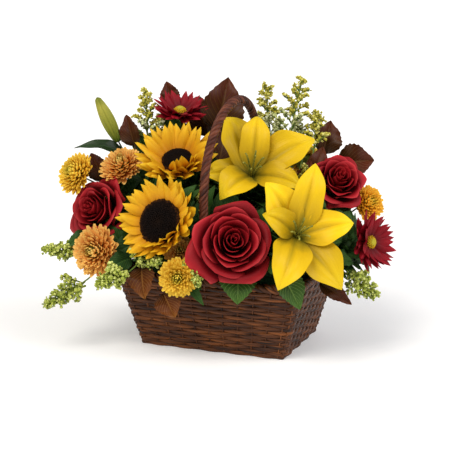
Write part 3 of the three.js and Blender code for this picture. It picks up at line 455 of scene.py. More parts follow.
def leafy_finish(name, colours, veins, roughness, vein_colour=None, ribs=9.0, gloss=0.0, relief=0.7,
                 middle=None):
    """A petal or leaf: colour from root to tip, lighter or darker by piece, with veins along or across it.
    A petal may have another colour in the groove along its middle."""
    made = bpy.data.materials.new(name)
    made.use_nodes = True
    tree = made.node_tree
    shader = tree.nodes["Principled BSDF"]
    uv = add(tree, "ShaderNodeUVMap", uv_map="petal")
    parts = add(tree, "ShaderNodeSeparateXYZ", {"Vector": uv.outputs[0]})
    tone = add(tree, "ShaderNodeAttribute", attribute_name="tone")
    side = add(tree, "ShaderNodeMath", {0: parts.outputs[0], 1: 0.5}, operation="SUBTRACT")
    side = add(tree, "ShaderNodeMath", {0: side.outputs[0]}, operation="ABSOLUTE")
    strand = add(tree, "ShaderNodeMath", {0: tone.outputs["Fac"], 1: 60.0}, operation="MULTIPLY")
    if veins == "feather":
        run = add(tree, "ShaderNodeMath", {0: parts.outputs[1], 1: ribs}, operation="MULTIPLY")
        lean = add(tree, "ShaderNodeMath", {0: side.outputs[0], 1: -ribs * 0.9, 2: run.outputs[0]},
                   operation="MULTIPLY_ADD")
        wave = add(tree, "ShaderNodeMath", {0: lean.outputs[0], 1: 0.5}, operation="PINGPONG")
        line = add(tree, "ShaderNodeMapRange", {"Value": wave.outputs[0], "From Min": 0.0, "From Max": 0.12,
                                                "To Min": 1.0, "To Max": 0.0})
        rib = add(tree, "ShaderNodeMapRange", {"Value": side.outputs[0], "From Min": 0.0, "From Max": 0.04,
                                               "To Min": 1.0, "To Max": 0.0})
        lines = add(tree, "ShaderNodeMath", {0: line.outputs[0], 1: rib.outputs[0]}, operation="MAXIMUM")
    else:
        across = add(tree, "ShaderNodeMath", {0: parts.outputs[0], 1: ribs}, operation="MULTIPLY")
        place = add(tree, "ShaderNodeCombineXYZ", {0: across.outputs[0], 1: parts.outputs[1], 2: strand.outputs[0]})
        lines = add(tree, "ShaderNodeTexNoise", {"Vector": place.outputs[0], "Scale": 1.6, "Detail": 2.0})
    cloud_place = add(tree, "ShaderNodeCombineXYZ", {0: parts.outputs[0], 1: parts.outputs[1],
                                                     2: strand.outputs[0]})
    cloud = add(tree, "ShaderNodeTexNoise", {"Vector": cloud_place.outputs[0], "Scale": 3.5, "Detail": 4.0})
    wander = add(tree, "ShaderNodeMath", {0: cloud.outputs["Fac"], 1: 0.3, 2: -0.15}, operation="MULTIPLY_ADD")
    height = add(tree, "ShaderNodeMath", {0: parts.outputs[1], 1: wander.outputs[0]})
    colour = add(tree, "ShaderNodeValToRGB", {"Fac": height.outputs[0]}, stops=colours)
    shade = add(tree, "ShaderNodeMath", {0: tone.outputs["Fac"], 1: 0.4, 2: 0.8}, operation="MULTIPLY_ADD")
    toned = add(tree, "ShaderNodeHueSaturation", {"Color": colour.outputs["Color"], "Value": shade.outputs[0]})
    last = toned.outputs["Color"]
    if vein_colour:
        strength = add(tree, "ShaderNodeMath", {0: lines.outputs[0], 1: 0.6}, operation="MULTIPLY")
        veined = add(tree, "ShaderNodeMix", {0: strength.outputs[0], 6: last, 7: linear(vein_colour)},
                     data_type="RGBA")
        last = veined.outputs[2]
    # The groove colour is partly the petal's own green and partly painted shade in the groove, strongest near the root.
    if middle:
        groove = add(tree, "ShaderNodeMapRange", {"Value": side.outputs[0], "From Min": 0.0, "From Max": 0.11,
                                                  "To Min": 0.75, "To Max": 0.0})
        fade = add(tree, "ShaderNodeMapRange", {"Value": parts.outputs[1], "From Min": 0.1, "From Max": 0.85,
                                                "To Min": 1.0, "To Max": 0.1})
        groove = add(tree, "ShaderNodeMath", {0: groove.outputs[0], 1: fade.outputs[0]}, operation="MULTIPLY")
        grooved = add(tree, "ShaderNodeMix", {0: groove.outputs[0], 6: last, 7: linear(middle)}, data_type="RGBA")
        last = grooved.outputs[2]
    tree.links.new(last, shader.inputs["Base Color"])
    rough = add(tree, "ShaderNodeMapRange", {"Value": cloud.outputs["Fac"], "To Min": roughness - 0.12,
                                             "To Max": roughness + 0.12})
    tree.links.new(rough.outputs[0], shader.inputs["Roughness"])
    raised = add(tree, "ShaderNodeBump", {"Height": lines.outputs[0], "Strength": 0.6,
                                          "Distance": relief * 0.001})
    tree.links.new(raised.outputs[0], shader.inputs["Normal"])
    shader.inputs["Specular IOR Level"].default_value = 0.16
    shader.inputs["Coat Weight"].default_value = gloss
    shader.inputs["Coat Roughness"].default_value = 0.3
    return made


STEM_GREEN = plain_finish("fresh green stem", "#26401a", "#4f7030", 9, 0.5, 0.25)
blooms = []  # each bloom's frame, radius and depth, which the leaves keep clear of

# ---------------------------------------------------------------- roses
# Dark red garden roses: a tight spiral heart, petals that open wider and lower outwards with their
# lips rolled back, a green hip with five sepals, and a stout stem.

ROSE_DEPTH = 42
ROSES = {
    "rose_front": {"at": (5, -8, 124), "turn": 5, "tilt": 12, "size": 50},
    "rose_left": {"at": (-170, 31, 20), "turn": -36, "tilt": 12, "size": 42},
    "rose_right": {"at": (134, 70, 34), "turn": 14, "tilt": 26, "size": 37},
    "rose_back": {"at": (-70, 45, -150), "turn": 172, "tilt": 20, "size": 38},
}


def blade(rows, thick):
    """A closed thin petal or leaf over a grid of points: its points, faces, and map across and along."""
    rows = np.asarray(rows, float)
    n, m = rows.shape[:2]
    normal = np.cross(np.gradient(rows, axis=1), np.gradient(rows, axis=0))
    normal /= np.linalg.norm(normal, axis=2, keepdims=True) + 1e-12
    swell = np.sqrt(np.sin(np.pi * np.linspace(0, 1, m)))[None, :, None] * thick / 2
    top = rows.copy()
    top[1:-1, 1:-1] += (normal * swell)[1:-1, 1:-1]
    under = rows[1:-1, 1:-1] - (normal * swell)[1:-1, 1:-1]
    upper = np.arange(n * m).reshape(n, m)
    lower = upper.copy()
    lower[1:-1, 1:-1] = n * m + np.arange((n - 2) * (m - 2)).reshape(n - 2, m - 2)
    quads = [np.stack([g[:-1, :-1], g[:-1, 1:], g[1:, 1:], g[1:, :-1]], -1).reshape(-1, 4) for g in (upper, lower)]
    across, along = np.meshgrid(np.linspace(0, 1, m), np.linspace(0, 1, n))
    maps = np.stack([across, along], -1)
    return (np.vstack([top.reshape(-1, 3), under.reshape(-1, 3)]), np.vstack([quads[0], quads[1][:, ::-1]]),
            np.vstack([maps.reshape(-1, 2), maps[1:-1, 1:-1].reshape(-1, 2)]))


def sewn(name, blades, finish=None, place=None, crease=50):
    """Blades as one mesh, in mm, or in metres at its place. Each blade comes with its tone."""
    points, faces, maps, tones, first = [], [], [], [], 0
    for (p, f, uv), tone in blades:
        points.append(p)
        faces.append(f + first)
        maps.append(uv)
        tones.append(np.full(len(p), tone))
        first += len(p)
    faces = np.vstack(faces)
    maps = np.vstack(maps)
    mesh = bpy.data.meshes.new(name)
    mesh.from_pydata(np.vstack(points).tolist(), [], faces.tolist())
    mesh.uv_layers.new(name="petal").data.foreach_set("uv", maps[faces.ravel()].ravel().astype(np.float32))
    mesh.attributes.new("tone", "FLOAT", "POINT").data.foreach_set("value", np.concatenate(tones).astype(np.float32))
    mesh.shade_smooth()
    mesh.set_sharp_from_angle(angle=math.radians(crease))
    if finish:
        mesh.materials.append(finish)
    if place is None:
        return mesh
    mesh.transform(Matrix.Scale(0.001, 4) @ place)
    piece = bpy.data.objects.new(name, mesh)
    bpy.context.scene.collection.objects.link(piece)
    return piece


def rose_petals(size, seed):
    """The petals of one rose, from the heart out, each a little further round, wider and lower."""
    rng = np.random.default_rng(seed)
    blades = []
    petals = 26
    s = np.linspace(0, 1, 16)[:, None]
    j = np.linspace(-1, 1, 15)[None, :]
    for k in range(petals):
        share = k / (petals - 1)
        around = k * 2.4 + rng.uniform(-0.2, 0.2)
        lip = size * (0.05 + 0.86 * share ** 1.12) * rng.uniform(0.98, 1.02)
        top = 6 - 4 * share - 17 * share ** 2.6 + rng.uniform(-1, 1)
        half = 1.8 - 0.95 * share ** 0.6
        roll = (0.5 + 7.5 * share ** 1.3) * rng.uniform(0.8, 1.2)
        low = size * 0.05 + size * 0.13 * share
        q = np.clip((s - 0.7) / 0.3, 0, 1)
        angle = around + j * half * (0.55 + 0.45 * np.sin(np.pi * (0.18 + 0.62 * s)))
        radius = low + (lip - low) * np.sin(s * math.pi / 2) ** 0.85 * (1 + 0.07 * j)
        radius = radius + roll * q ** 1.6 * (0.7 + 0.3 * np.cos(j * 3.0))
        radius = radius - size * 0.03 * (1 - share) * np.abs(j) * s
        wave = rng.uniform(0, 6.28)
        radius = radius + q * share * 1.8 * np.sin(j * 4.2 + wave)
        edge = np.abs(j) ** 3.2 * (5 + 5 * share) * s
        height = -ROSE_DEPTH + 4 + (top + ROSE_DEPTH - 4) * s ** (1.25 - 0.35 * share) - edge
        height = height - roll * 0.9 * q ** 2.2 + q * 0.9 * np.sin(j * 3.1 + wave + 2)
        radius = radius + 1.2 * np.exp(-(j / 0.12) ** 2) * q ** 3 * share
        rows = np.stack([radius * np.cos(angle), radius * np.sin(angle), height + 0 * angle], -1)
        blades.append((blade(rows, 0.9), rng.random()))
    return blades


# Velvet petals: the finish is matt and deep red. Painted shade makes each petal near black at its foot, deep in the
# bloom, and a painted highlight makes it brightest on the rolled lip.
ROSE_RED_PAINTED_SHADE_AND_HIGHLIGHT = leafy_finish("velvet rose petal", [(0.0, "#1c0203"), (0.5, "#4c070c"), (0.82, "#860f18"), (0.95, "#a01a22"),
                                              (1.0, "#b22c30")], "long", 0.55, ribs=12.0, relief=0.4)
ROSE_SEPAL = leafy_finish("rose sepal", [(0.0, "#36541f"), (1.0, "#5c7c34")], "long", 0.6)
rose_stems, sepals = [], []
for k, (name, rose) in enumerate(ROSES.items()):
    place = bloom_frame(rose["at"], rose["turn"], rose["tilt"])
    blooms.append((place, rose["size"], ROSE_DEPTH))
    petals = sewn(name + "_petals", rose_petals(rose["size"], 40 + k), ROSE_RED_PAINTED_SHADE_AND_HIGHLIGHT, place)
    stand_for(petals, "rose_petal", name + "_bloom")
    for m in range(5):
        out = Vector((math.cos(m * math.tau / 5), math.sin(m * math.tau / 5), 0))
        root = place @ (out * 2 + Vector((0, 0, -ROSE_DEPTH + 1)))
        tip = place @ (out * 17 + Vector((0, 0, -ROSE_DEPTH - 5)))
        sepals.append((root, tip, (place.to_3x3() @ Vector((0, 0, 1)))))
    end = place @ Vector((0, 0, -ROSE_DEPTH + 1))
    line = stem_path(end, facing(rose["turn"], rose["tilt"]))
    girth = [2.6] * (len(line) - 2) + [4.2, 5.0]
    rose_stems.append((line, {"girth": np.array(girth)}))
stems = grow("rose_stems", lines_mesh(rose_stems), FREE_STRANDS, step=4.0, sides=10, wander=0.8,
             finish=STEM_GREEN)
stand_for(stems, "stem", *(name + "_stem" for name in ROSES))


def leaf_rows(root, tip, wide, up, curl=0.08, wave=0.5, teeth=0.0, shape=1.0, fold=0.16, long=19, across=9):
    """A leaf's grid from its root to its tip: folded along the rib, arched, with waved or toothed edges."""
    along = tip - root
    length = along.length
    along = along.normalized()
    over = along.cross(up).normalized()
    above = over.cross(along)
    s = np.linspace(0, 1, long)[:, None]
    j = np.linspace(-1, 1, across)[None, :]
    half = (wide / 2) * np.sin(np.pi * s ** (0.72 * shape)) ** 0.9 * (1 - 0.12 * s) + 0.35
    tooth = 1 + teeth * np.where(np.arange(long)[:, None] % 2 == 0, 1, -1) * (np.abs(j) > 0.99)
    side = half * j * tooth
    ribs = 0.35 * np.abs(np.sin((s * 9 - np.abs(j) * 2.2) * math.pi)) * np.sin(np.pi * s) * (1 - np.abs(j))
    lift = (curl * length * np.sin(s * np.pi) + np.abs(j) * half * fold * 2 - 0.8 * np.exp(-(j / 0.1) ** 2)
            + wave * np.abs(j) ** 2 * np.sin(s * 17 + 2 * j) + ribs)
    return (np.array(root) + np.array(along) * (length * s)[..., None]
            + np.array(over) * side[..., None] + np.array(above) * lift[..., None])


calyx = sewn("rose_sepals", [(blade(leaf_rows(root, tip, 6, up, 0.1, 0.2, long=9, across=5), 0.9), 0.5)
                             for root, tip, up in sepals], ROSE_SEPAL, Matrix.Identity(4))
stand_for(calyx, "stem")

# ---------------------------------------------------------------- lilies
# Yellow lilies: six broad arched tepals with a green groove from the throat, a pistil with six thin
# filaments, and one closed bud.

LILIES = {
    "lily_upper": {
        "at": (26, 70, 42), "turn": 3, "tilt": 26,
        "tepals": ((113, 74, 40, 26), (84, 68, 32, 30), (27, 84, 44, 26), (186, 58, 32, 15), (228, 58, 38, 29),
                   (334, 62, 32, 26)),
    },
    "lily_lower": {
        "at": (80, -3, 104), "turn": 7, "tilt": 12,
        "tepals": ((75, 82, 34, 30), (10, 64, 36, 24), (306, 80, 44, 20), (248, 72, 42, 34), (154, 46, 28, 30),
                   (122, 68, 38, 26)),
    },
}


def tepal(degrees, reach, wide, arch, rng):
    """One tepal: out of the throat, arched, grooved along its middle, with a soft wave in its edges."""
    s = np.linspace(0, 1, 26)[:, None]
    j = np.linspace(-1, 1, 17)[None, :]
    out = 2.5 + (reach - 2.5) * s ** 1.08
    lift = arch * np.sin(s * math.pi * 0.74)
    half = 3 * (1 - s) + (wide / 2) * np.sin(np.pi * s ** 0.85) ** 0.82 + 0.25
    middle = np.sin(np.pi * s)
    channel = half * 0.4 * (j * j - 0.4) * (1 - 0.5 * s)
    groove = -2.4 * np.exp(-(j / 0.11) ** 2) * middle + 1.1 * np.exp(-((np.abs(j) - 0.28) / 0.13) ** 2) * middle
    wave = np.abs(j) ** 3 * 2.6 * np.sin(s * 10 + 2.4 * j + rng.uniform(0, 6)) * middle
    ridges = 0.5 * np.cos(j * 19) * middle * (1 - np.abs(j))
    roll = -2.5 * np.clip((s - 0.8) / 0.2, 0, 1) ** 2
    angle = math.radians(degrees)
    side = half * j * (1 + 0.05 * np.sin(s * 13 + rng.uniform(0, 6)) * np.abs(j))
    x = out * math.cos(angle) - side * math.sin(angle)
    y = out * math.sin(angle) + side * math.cos(angle)
    return blade(np.stack([x, y, lift + channel + groove + wave + ridges + roll], -1), 1.0)


# Waxy tepals: satin, olive in the throat, and darker along the middle groove, partly their own green and partly painted
# shade in the groove.
LILY_YELLOW = leafy_finish("waxy lily tepal", [(0.02, "#565414"), (0.13, "#96801a"), (0.3, "#c9a212"), (0.7, "#dcb512"),
                                               (1.0, "#e8c61a")], "long", 0.42, ribs=16.0, relief=0.8,
                           middle="#766a14")
THROAT_GREEN = plain_finish("lily pistil and filaments", "#5f6a26", "#9a933a", 4, 0.5, 0.2)
lily_stems = []
for k, (name, lily) in enumerate(LILIES.items()):
    place = bloom_frame(lily["at"], lily["turn"], lily["tilt"])
    blooms.append((place, 34, 20))
    rng = np.random.default_rng(60 + k)
    tepals = sewn(name + "_petals", [(tepal(*one, rng), rng.random()) for one in lily["tepals"]],
                  LILY_YELLOW, place)
    stand_for(tepals, "lily_petal", name + "_tepals")
    lines = [([(0, 0, -3), (0, 0, 8), (0.6, 0.4, 26), (1.4, 0.2, 40), (1.6, 0, 44), (1.7, 0, 46)],
              {"girth": np.array([3.2, 2.4, 1.1, 1.2, 2.4, 1.8])})]
    for m in range(6):
        angle = (m + 0.25) * math.pi / 3
        lines.append(([(r * math.cos(angle), r * math.sin(angle), z) for r, z in
                       ((1.5, -2), (3.0, 10), (6.5, 24), (10, 33), (11.5, 35), (13, 35.5))],
                      {"girth": np.array([0.9, 0.8, 0.7, 0.7, 1.5, 0.7])}))
    centre = grow(name + "_pistil", lines_mesh(lines), FREE_STRANDS, place, step=1.5, sides=8,
                  finish=THROAT_GREEN)
    stand_for(centre, "lily_centre", name + "_centre")
    line = stem_path(place @ Vector((0, 0, -3)), facing(lily["turn"], lily["tilt"]))
    lily_stems.append((line, {"girth": np.array([2.8] * (len(line) - 1) + [4.0])}))
stems = grow("lily_stems", lines_mesh(lily_stems), FREE_STRANDS, step=4.0, sides=10, wander=0.8,
             finish=STEM_GREEN)
stand_for(stems, "stem", *(name + "_stem" for name in LILIES))

# The bud: closed tepals that meet in six ridges, on its stem with one narrow dark leaf.
BUD = {"at": (-134, 110, -30), "turn": -55, "tilt": 60, "length": 60, "thick": 9, "shift": -14,
       "leaf_tip": (-187, 102, -22)}


# Broad fresh leaves: glossy mid green with paler side veins. The bud is satin, greener at both ends.
GREEN_LEAF = leafy_finish("fresh green leaf", [(0.0, "#1c3310"), (0.5, "#34531b"), (1.0, "#4a6e26")], "feather", 0.42,
                          vein_colour="#7c9c4e", gloss=0.12)
BUD_GREEN = leafy_finish("closed lily bud", [(0.0, "#5c7420"), (0.35, "#b0b23c"), (0.8, "#d2ca54"), (1.0, "#808a2a")],
                         "long", 0.45, vein_colour="#2c440c", ribs=24.0, relief=1.0)
NIGHT_LEAF = leafy_finish("old dark green leaf", [(0.0, "#0e1c0a"), (0.6, "#1d3214"), (1.0, "#2c4620")], "feather",
                          0.42, vein_colour="#42603a", gloss=0.15)
place = bloom_frame(BUD["at"], BUD["turn"], BUD["tilt"])
s = np.linspace(0, 1, 26)[:, None]
around = np.linspace(0, math.tau, 37)[:-1][None, :]
swell = 2.2 + (BUD["thick"] - 2.2) * np.sin(np.pi * np.clip(0.1 + s * 0.86, 0, 1)) ** 0.9
radius = swell * (1 - 0.3 * np.abs(np.sin(around * 3)) ** 8 - 0.14 * np.abs(np.cos(around * 3)) ** 10)
radius = radius * np.where(s > 0.985, 0.35, 1)
bud_rings = np.stack([radius * np.cos(around), radius * np.sin(around), BUD["length"] * s + 0 * around], -1)
faces = [(i * 36 + j, i * 36 + (j + 1) % 36, (i + 1) * 36 + (j + 1) % 36, (i + 1) * 36 + j)
         for i in range(25) for j in range(36)]
faces += [tuple(reversed(range(36))), tuple(range(25 * 36, 26 * 36))]
mesh = bpy.data.meshes.new("lily_bud_closed")
mesh.from_pydata(bud_rings.reshape(-1, 3).tolist(), [], faces)
maps = np.stack([np.repeat(np.arange(36)[None] / 36, 26, 0), np.repeat(s, 36, 1)], -1).reshape(-1, 2)
loops = np.array([v for face in faces for v in face])
mesh.uv_layers.new(name="petal").data.foreach_set("uv", maps[loops].ravel().astype(np.float32))
mesh.shade_smooth()
mesh.materials.append(BUD_GREEN)
mesh.transform(Matrix.Scale(0.001, 4) @ place)
bud = bpy.data.objects.new("lily_bud_closed", mesh)
bpy.context.scene.collection.objects.link(bud)
stand_for(bud, "lily_bud", "lily_bud")
bud_line = stem_path(place @ Vector((0, 0, 2)), facing(BUD["turn"], BUD["tilt"]), shift=BUD["shift"])
bud_stem = grow("lily_bud_stem", lines_mesh([(bud_line, {"girth": 2.4})]), FREE_STRANDS, step=4.0, sides=10,
                finish=STEM_GREEN)
stand_for(bud_stem, "stem")
bud_leaf = sewn("lily_bud_leaf", [(blade(leaf_rows(bud_line[-3], seen(*BUD["leaf_tip"]), 19, facing(0, 40),
                                                   curl=0.2, wave=0.8), 0.9), 0.2)],
                NIGHT_LEAF, Matrix.Identity(4))
stand_for(bud_leaf, "green_leaf")

# ---------------------------------------------------------------- sunflowers and red daisies
# Two sunflowers with layers of golden rays round a near-black disc of florets, and two dark red
# daisies with a small yellow eye. Each stands on a green cup of pointed bracts.

SUNFLOWERS = {
    "sunflower_upper": {"at": (-63, 87, 38), "turn": -4, "tilt": 40, "size": 50, "plate": 17, "cup": 20,
                        "leans": (0.6, 0.95, 1.25), "curl": (-62, 0.5), "reach": 1.08},
    "sunflower_lower": {"at": (-84, 13, 80), "turn": -28, "tilt": 10, "size": 55, "plate": 24, "cup": 15,
                        "leans": (0.45, 0.8, 1.1), "curl": (-58, 0.7), "reach": 0.92},
}
DAISIES = {
    "red_daisy_top": {"at": (-60, 148, -30), "turn": 4, "tilt": 56, "size": 35, "plate": 6.4, "cup": 9},
    "red_daisy_right": {"at": (170, -11, 58), "turn": 44, "tilt": 4, "size": 35, "plate": 6.4, "cup": 9},
}


def head_tree():
    """A round head by the golden angle: the shape is set from the middle out, and leans and grows."""
    tree, given, out = growth("spiral head", {
        "Count": ("Int", 100), "Inner": ("Float", 0.0), "Radius": ("Float", 10.0), "Rise": ("Float", 3.0),
        "Dimple": ("Float", 0.0), "Lean Middle": ("Float", 0.0), "Lean Rim": ("Float", 1.0),
        "Size Middle": ("Float", 1.0), "Size Rim": ("Float", 1.0), "Jitter": ("Float", 0.1),
        "Seed": ("Int", 0), "Finish": ("Material", None),
    })
    points = add(tree, "GeometryNodePoints", {"Count": given["Count"]})
    index = add(tree, "GeometryNodeInputIndex")
    place = add(tree, "ShaderNodeMath", {0: index.outputs[0], 1: 0.5})
    place = add(tree, "ShaderNodeMath", {0: place.outputs[0], 1: given["Count"]}, operation="DIVIDE")
    place = add(tree, "ShaderNodeMath", {0: place.outputs[0], 1: 0.5}, operation="POWER")
    points = add(tree, "GeometryNodeStoreNamedAttribute",
                 {"Geometry": points.outputs[0], "Name": "rim", "Value": place.outputs[0]}, data_type="FLOAT")
    rim = add(tree, "GeometryNodeInputNamedAttribute", {"Name": "rim"}, data_type="FLOAT").outputs[0]
    angle = add(tree, "ShaderNodeMath", {0: index.outputs[0], 1: math.pi * (3 - math.sqrt(5))},
                operation="MULTIPLY")
    radius = add(tree, "ShaderNodeMapRange", {"Value": rim, "To Min": given["Inner"], "To Max": given["Radius"]})
    cos = add(tree, "ShaderNodeMath", {0: angle.outputs[0]}, operation="COSINE")
    sin = add(tree, "ShaderNodeMath", {0: angle.outputs[0]}, operation="SINE")
    x = add(tree, "ShaderNodeMath", {0: cos.outputs[0], 1: radius.outputs[0]}, operation="MULTIPLY")
    y = add(tree, "ShaderNodeMath", {0: sin.outputs[0], 1: radius.outputs[0]}, operation="MULTIPLY")
    fall = add(tree, "ShaderNodeMath", {0: rim, 1: 2.4}, operation="POWER")
    dome = add(tree, "ShaderNodeMath", {0: 1.0, 1: fall.outputs[0]}, operation="SUBTRACT")
    dip = add(tree, "ShaderNodeMath", {0: rim, 1: 3.2}, operation="MULTIPLY")
    dip = add(tree, "ShaderNodeMath", {0: 1.0, 1: dip.outputs[0]}, operation="SUBTRACT", use_clamp=True)
    dip = add(tree, "ShaderNodeMath", {0: dip.outputs[0], 1: given["Dimple"]}, operation="MULTIPLY")
    z = add(tree, "ShaderNodeMath", {0: dome.outputs[0], 1: given["Rise"]}, operation="MULTIPLY")
    z = add(tree, "ShaderNodeMath", {0: z.outputs[0], 1: dip.outputs[0]}, operation="SUBTRACT")
    where = add(tree, "ShaderNodeCombineXYZ", {0: x.outputs[0], 1: y.outputs[0], 2: z.outputs[0]})
    points = add(tree, "GeometryNodeSetPosition", {"Geometry": points.outputs[0], "Position": where.outputs[0]})
    tone = add(tree, "FunctionNodeRandomValue", {2: 0.0, 3: 1.0, "Seed": given["Seed"]}, data_type="FLOAT")
    points = add(tree, "GeometryNodeStoreNamedAttribute",
                 {"Geometry": points.outputs[0], "Name": "tone", "Value": tone.outputs[1]}, data_type="FLOAT")
    lean = add(tree, "ShaderNodeMapRange", {"Value": rim, "To Min": given["Lean Middle"],
                                            "To Max": given["Lean Rim"]})
    stray = add(tree, "FunctionNodeRandomValue", {0: (-1, -1, -1), 1: (1, 1, 1), "Seed": given["Seed"]},
                data_type="FLOAT_VECTOR")
    stray = add(tree, "ShaderNodeVectorMath", {0: stray.outputs[0], "Scale": given["Jitter"]}, operation="SCALE")
    turn = add(tree, "ShaderNodeCombineXYZ", {0: 0.0, 1: lean.outputs[0], 2: angle.outputs[0]})
    turn = add(tree, "ShaderNodeVectorMath", {0: turn.outputs[0], 1: stray.outputs[0]})
    grown = add(tree, "ShaderNodeMapRange", {"Value": rim, "To Min": given["Size Middle"],
                                             "To Max": given["Size Rim"]})
    uneven = add(tree, "FunctionNodeRandomValue", {2: 0.88, 3: 1.1, "Seed": given["Seed"]}, data_type="FLOAT")
    size = add(tree, "ShaderNodeMath", {0: grown.outputs[0], 1: uneven.outputs[1]}, operation="MULTIPLY")
    set_out = add(tree, "GeometryNodeInstanceOnPoints",
                  {"Points": points.outputs[0], "Instance": given["Geometry"], "Rotation": turn.outputs[0],
                   "Scale": size.outputs[0]})
    close_growth(tree, set_out.outputs[0], given, out)
    return tree


HEAD = head_tree()


def spray_tree():
    """One of several shapes on each point, turned and sized as the point says."""
    tree, given, out = growth("shapes on points", {"Shapes": ("Collection", None), "Finish": ("Material", None)})
    shapes = add(tree, "GeometryNodeCollectionInfo",
                 {"Collection": given["Shapes"], "Separate Children": True, "Reset Children": True})
    turn = add(tree, "GeometryNodeInputNamedAttribute", {"Name": "turn"}, data_type="FLOAT_VECTOR")
    size = add(tree, "GeometryNodeInputNamedAttribute", {"Name": "size"}, data_type="FLOAT_VECTOR")
    pick = add(tree, "GeometryNodeInputNamedAttribute", {"Name": "pick"}, data_type="INT")
    set_out = add(tree, "GeometryNodeInstanceOnPoints", {
        "Points": given["Geometry"], "Instance": shapes.outputs[0], "Pick Instance": True,
        "Instance Index": pick.outputs[0], "Rotation": turn.outputs[0], "Scale": size.outputs[0]})
    close_growth(tree, set_out.outputs[0], given, out)
    return tree


SPRAY = spray_tree()


def spray(name, spots, shapes, finish, place=None):
    """Shapes set out on spots, each a frame in mm, a size, which shape, and a tone."""
    mesh = bpy.data.meshes.new("spots")
    mesh.from_pydata([tuple(m.translation) for m, *_ in spots], [], [])
    turns = np.array([m.to_euler() for m, *_ in spots], np.float32)
    sizes = np.array([size for _, size, *_ in spots], np.float32)
    mesh.attributes.new("turn", "FLOAT_VECTOR", "POINT").data.foreach_set("vector", turns.ravel())
    mesh.attributes.new("size", "FLOAT_VECTOR", "POINT").data.foreach_set("vector", sizes.ravel())
    mesh.attributes.new("pick", "INT", "POINT").data.foreach_set("value", [p for *_, p, _ in spots])
    for key in ("tone", "rim"):
        mesh.attributes.new(key, "FLOAT", "POINT").data.foreach_set("value", [t for *_, t in spots])
    group = bpy.data.collections.new("shapes")
    bpy.context.scene.collection.children.link(group)
    models = [bpy.data.objects.new(f"shape_{k}", shape) for k, shape in enumerate(shapes)]
    for model in models:
        group.objects.link(model)
    piece = grow(name, mesh, SPRAY, place, shapes=group, finish=finish)
    for model in models:
        bpy.data.objects.remove(model)
    bpy.data.collections.remove(group)
    return piece


def ray(length, wide, curl, rng):
    """A ray that lies along +X from the origin, grooved, with its end curled up."""
    s = np.linspace(0, 1, 12)[:, None]
    j = np.linspace(-1, 1, 7)[None, :]
    half = wide / 2 * (0.5 + 0.5 * np.sin(np.pi * np.clip(s * 0.8 + 0.1, 0, 1)) ** 0.8) * (1 - s ** 4.5) + 0.2
    x = length * s + 0 * j
    y = half * j + rng.uniform(-0.05, 0.05) * length * s ** 2
    z = (curl * length * s ** 2 - half * 0.3 * j * j + 0.4 * np.cos(j * math.pi * 1.5) * np.sin(np.pi * s)
         + 0.05 * length * np.sin(s * 5 + rng.uniform(0, 6)) * s + rng.uniform(-0.4, 0.4) * half * j * s)
    return sewn("ray", [(blade(np.stack([x, y, z], -1), 0.8), 0.5)])


def ray_spots(count, layers, rng, curl_towards=0.0, curl_more=0.0):
    """Spots for rays round a disc. A layer has its radius, height, tilt, and the size of its rays.
    The rays on one side may curl in over the disc."""
    spots = []
    for layer, (radius, height, tilt, size) in enumerate(layers):
        for k in range(count):
            angle = (k + layer * 0.5) / count * math.tau + rng.uniform(-0.08, 0.08)
            near = max(0.0, math.cos(angle - curl_towards)) ** 2 * curl_more * (0.4 + 0.6 * layer / 2)
            lean = tilt + rng.uniform(-0.14, 0.14) + near
            turn = (Matrix.Rotation(angle, 4, "Z") @ Matrix.Translation((radius, 0, height))
                    @ Matrix.Rotation(-lean, 4, "Y") @ Matrix.Rotation(rng.uniform(-0.35, 0.35), 4, "X"))
            long = size * rng.uniform(0.86, 1.06) * (1 - 0.16 * near)
            if curl_more:
                long *= 1 - 0.26 * max(0.0, math.cos(angle - curl_towards)) ** 2
            spots.append((turn, (long, rng.uniform(0.85, 1.15), 1), int(rng.integers(4)), rng.random()))
    return spots


def floret(wide, high, sides, lobes=0.0):
    """A small closed bead with a puckered top, of a few dozen faces."""
    rings = ((0.55, 0.0), (1.0, 0.45), (0.8, 0.9), (0.35, 0.82))
    points = []
    for i, (r, z) in enumerate(rings):
        for k in range(sides):
            angle = (k + i * 0.5) * math.tau / sides
            bulge = 1 + (lobes if k % 2 else -lobes) * (i == 2)
            points.append((r * wide * bulge * math.cos(angle), r * wide * bulge * math.sin(angle), z * high))
    faces = [(i * sides + k, i * sides + (k + 1) % sides, (i + 1) * sides + (k + 1) % sides,
              (i + 1) * sides + k) for i in range(3) for k in range(sides)]
    faces += [tuple(reversed(range(sides))), tuple(range(3 * sides, 4 * sides))]
    mesh = bpy.data.meshes.new("floret")
    mesh.from_pydata(points, [], faces)
    mesh.uv_layers.new(name="petal")
    mesh.shade_smooth()
    return mesh


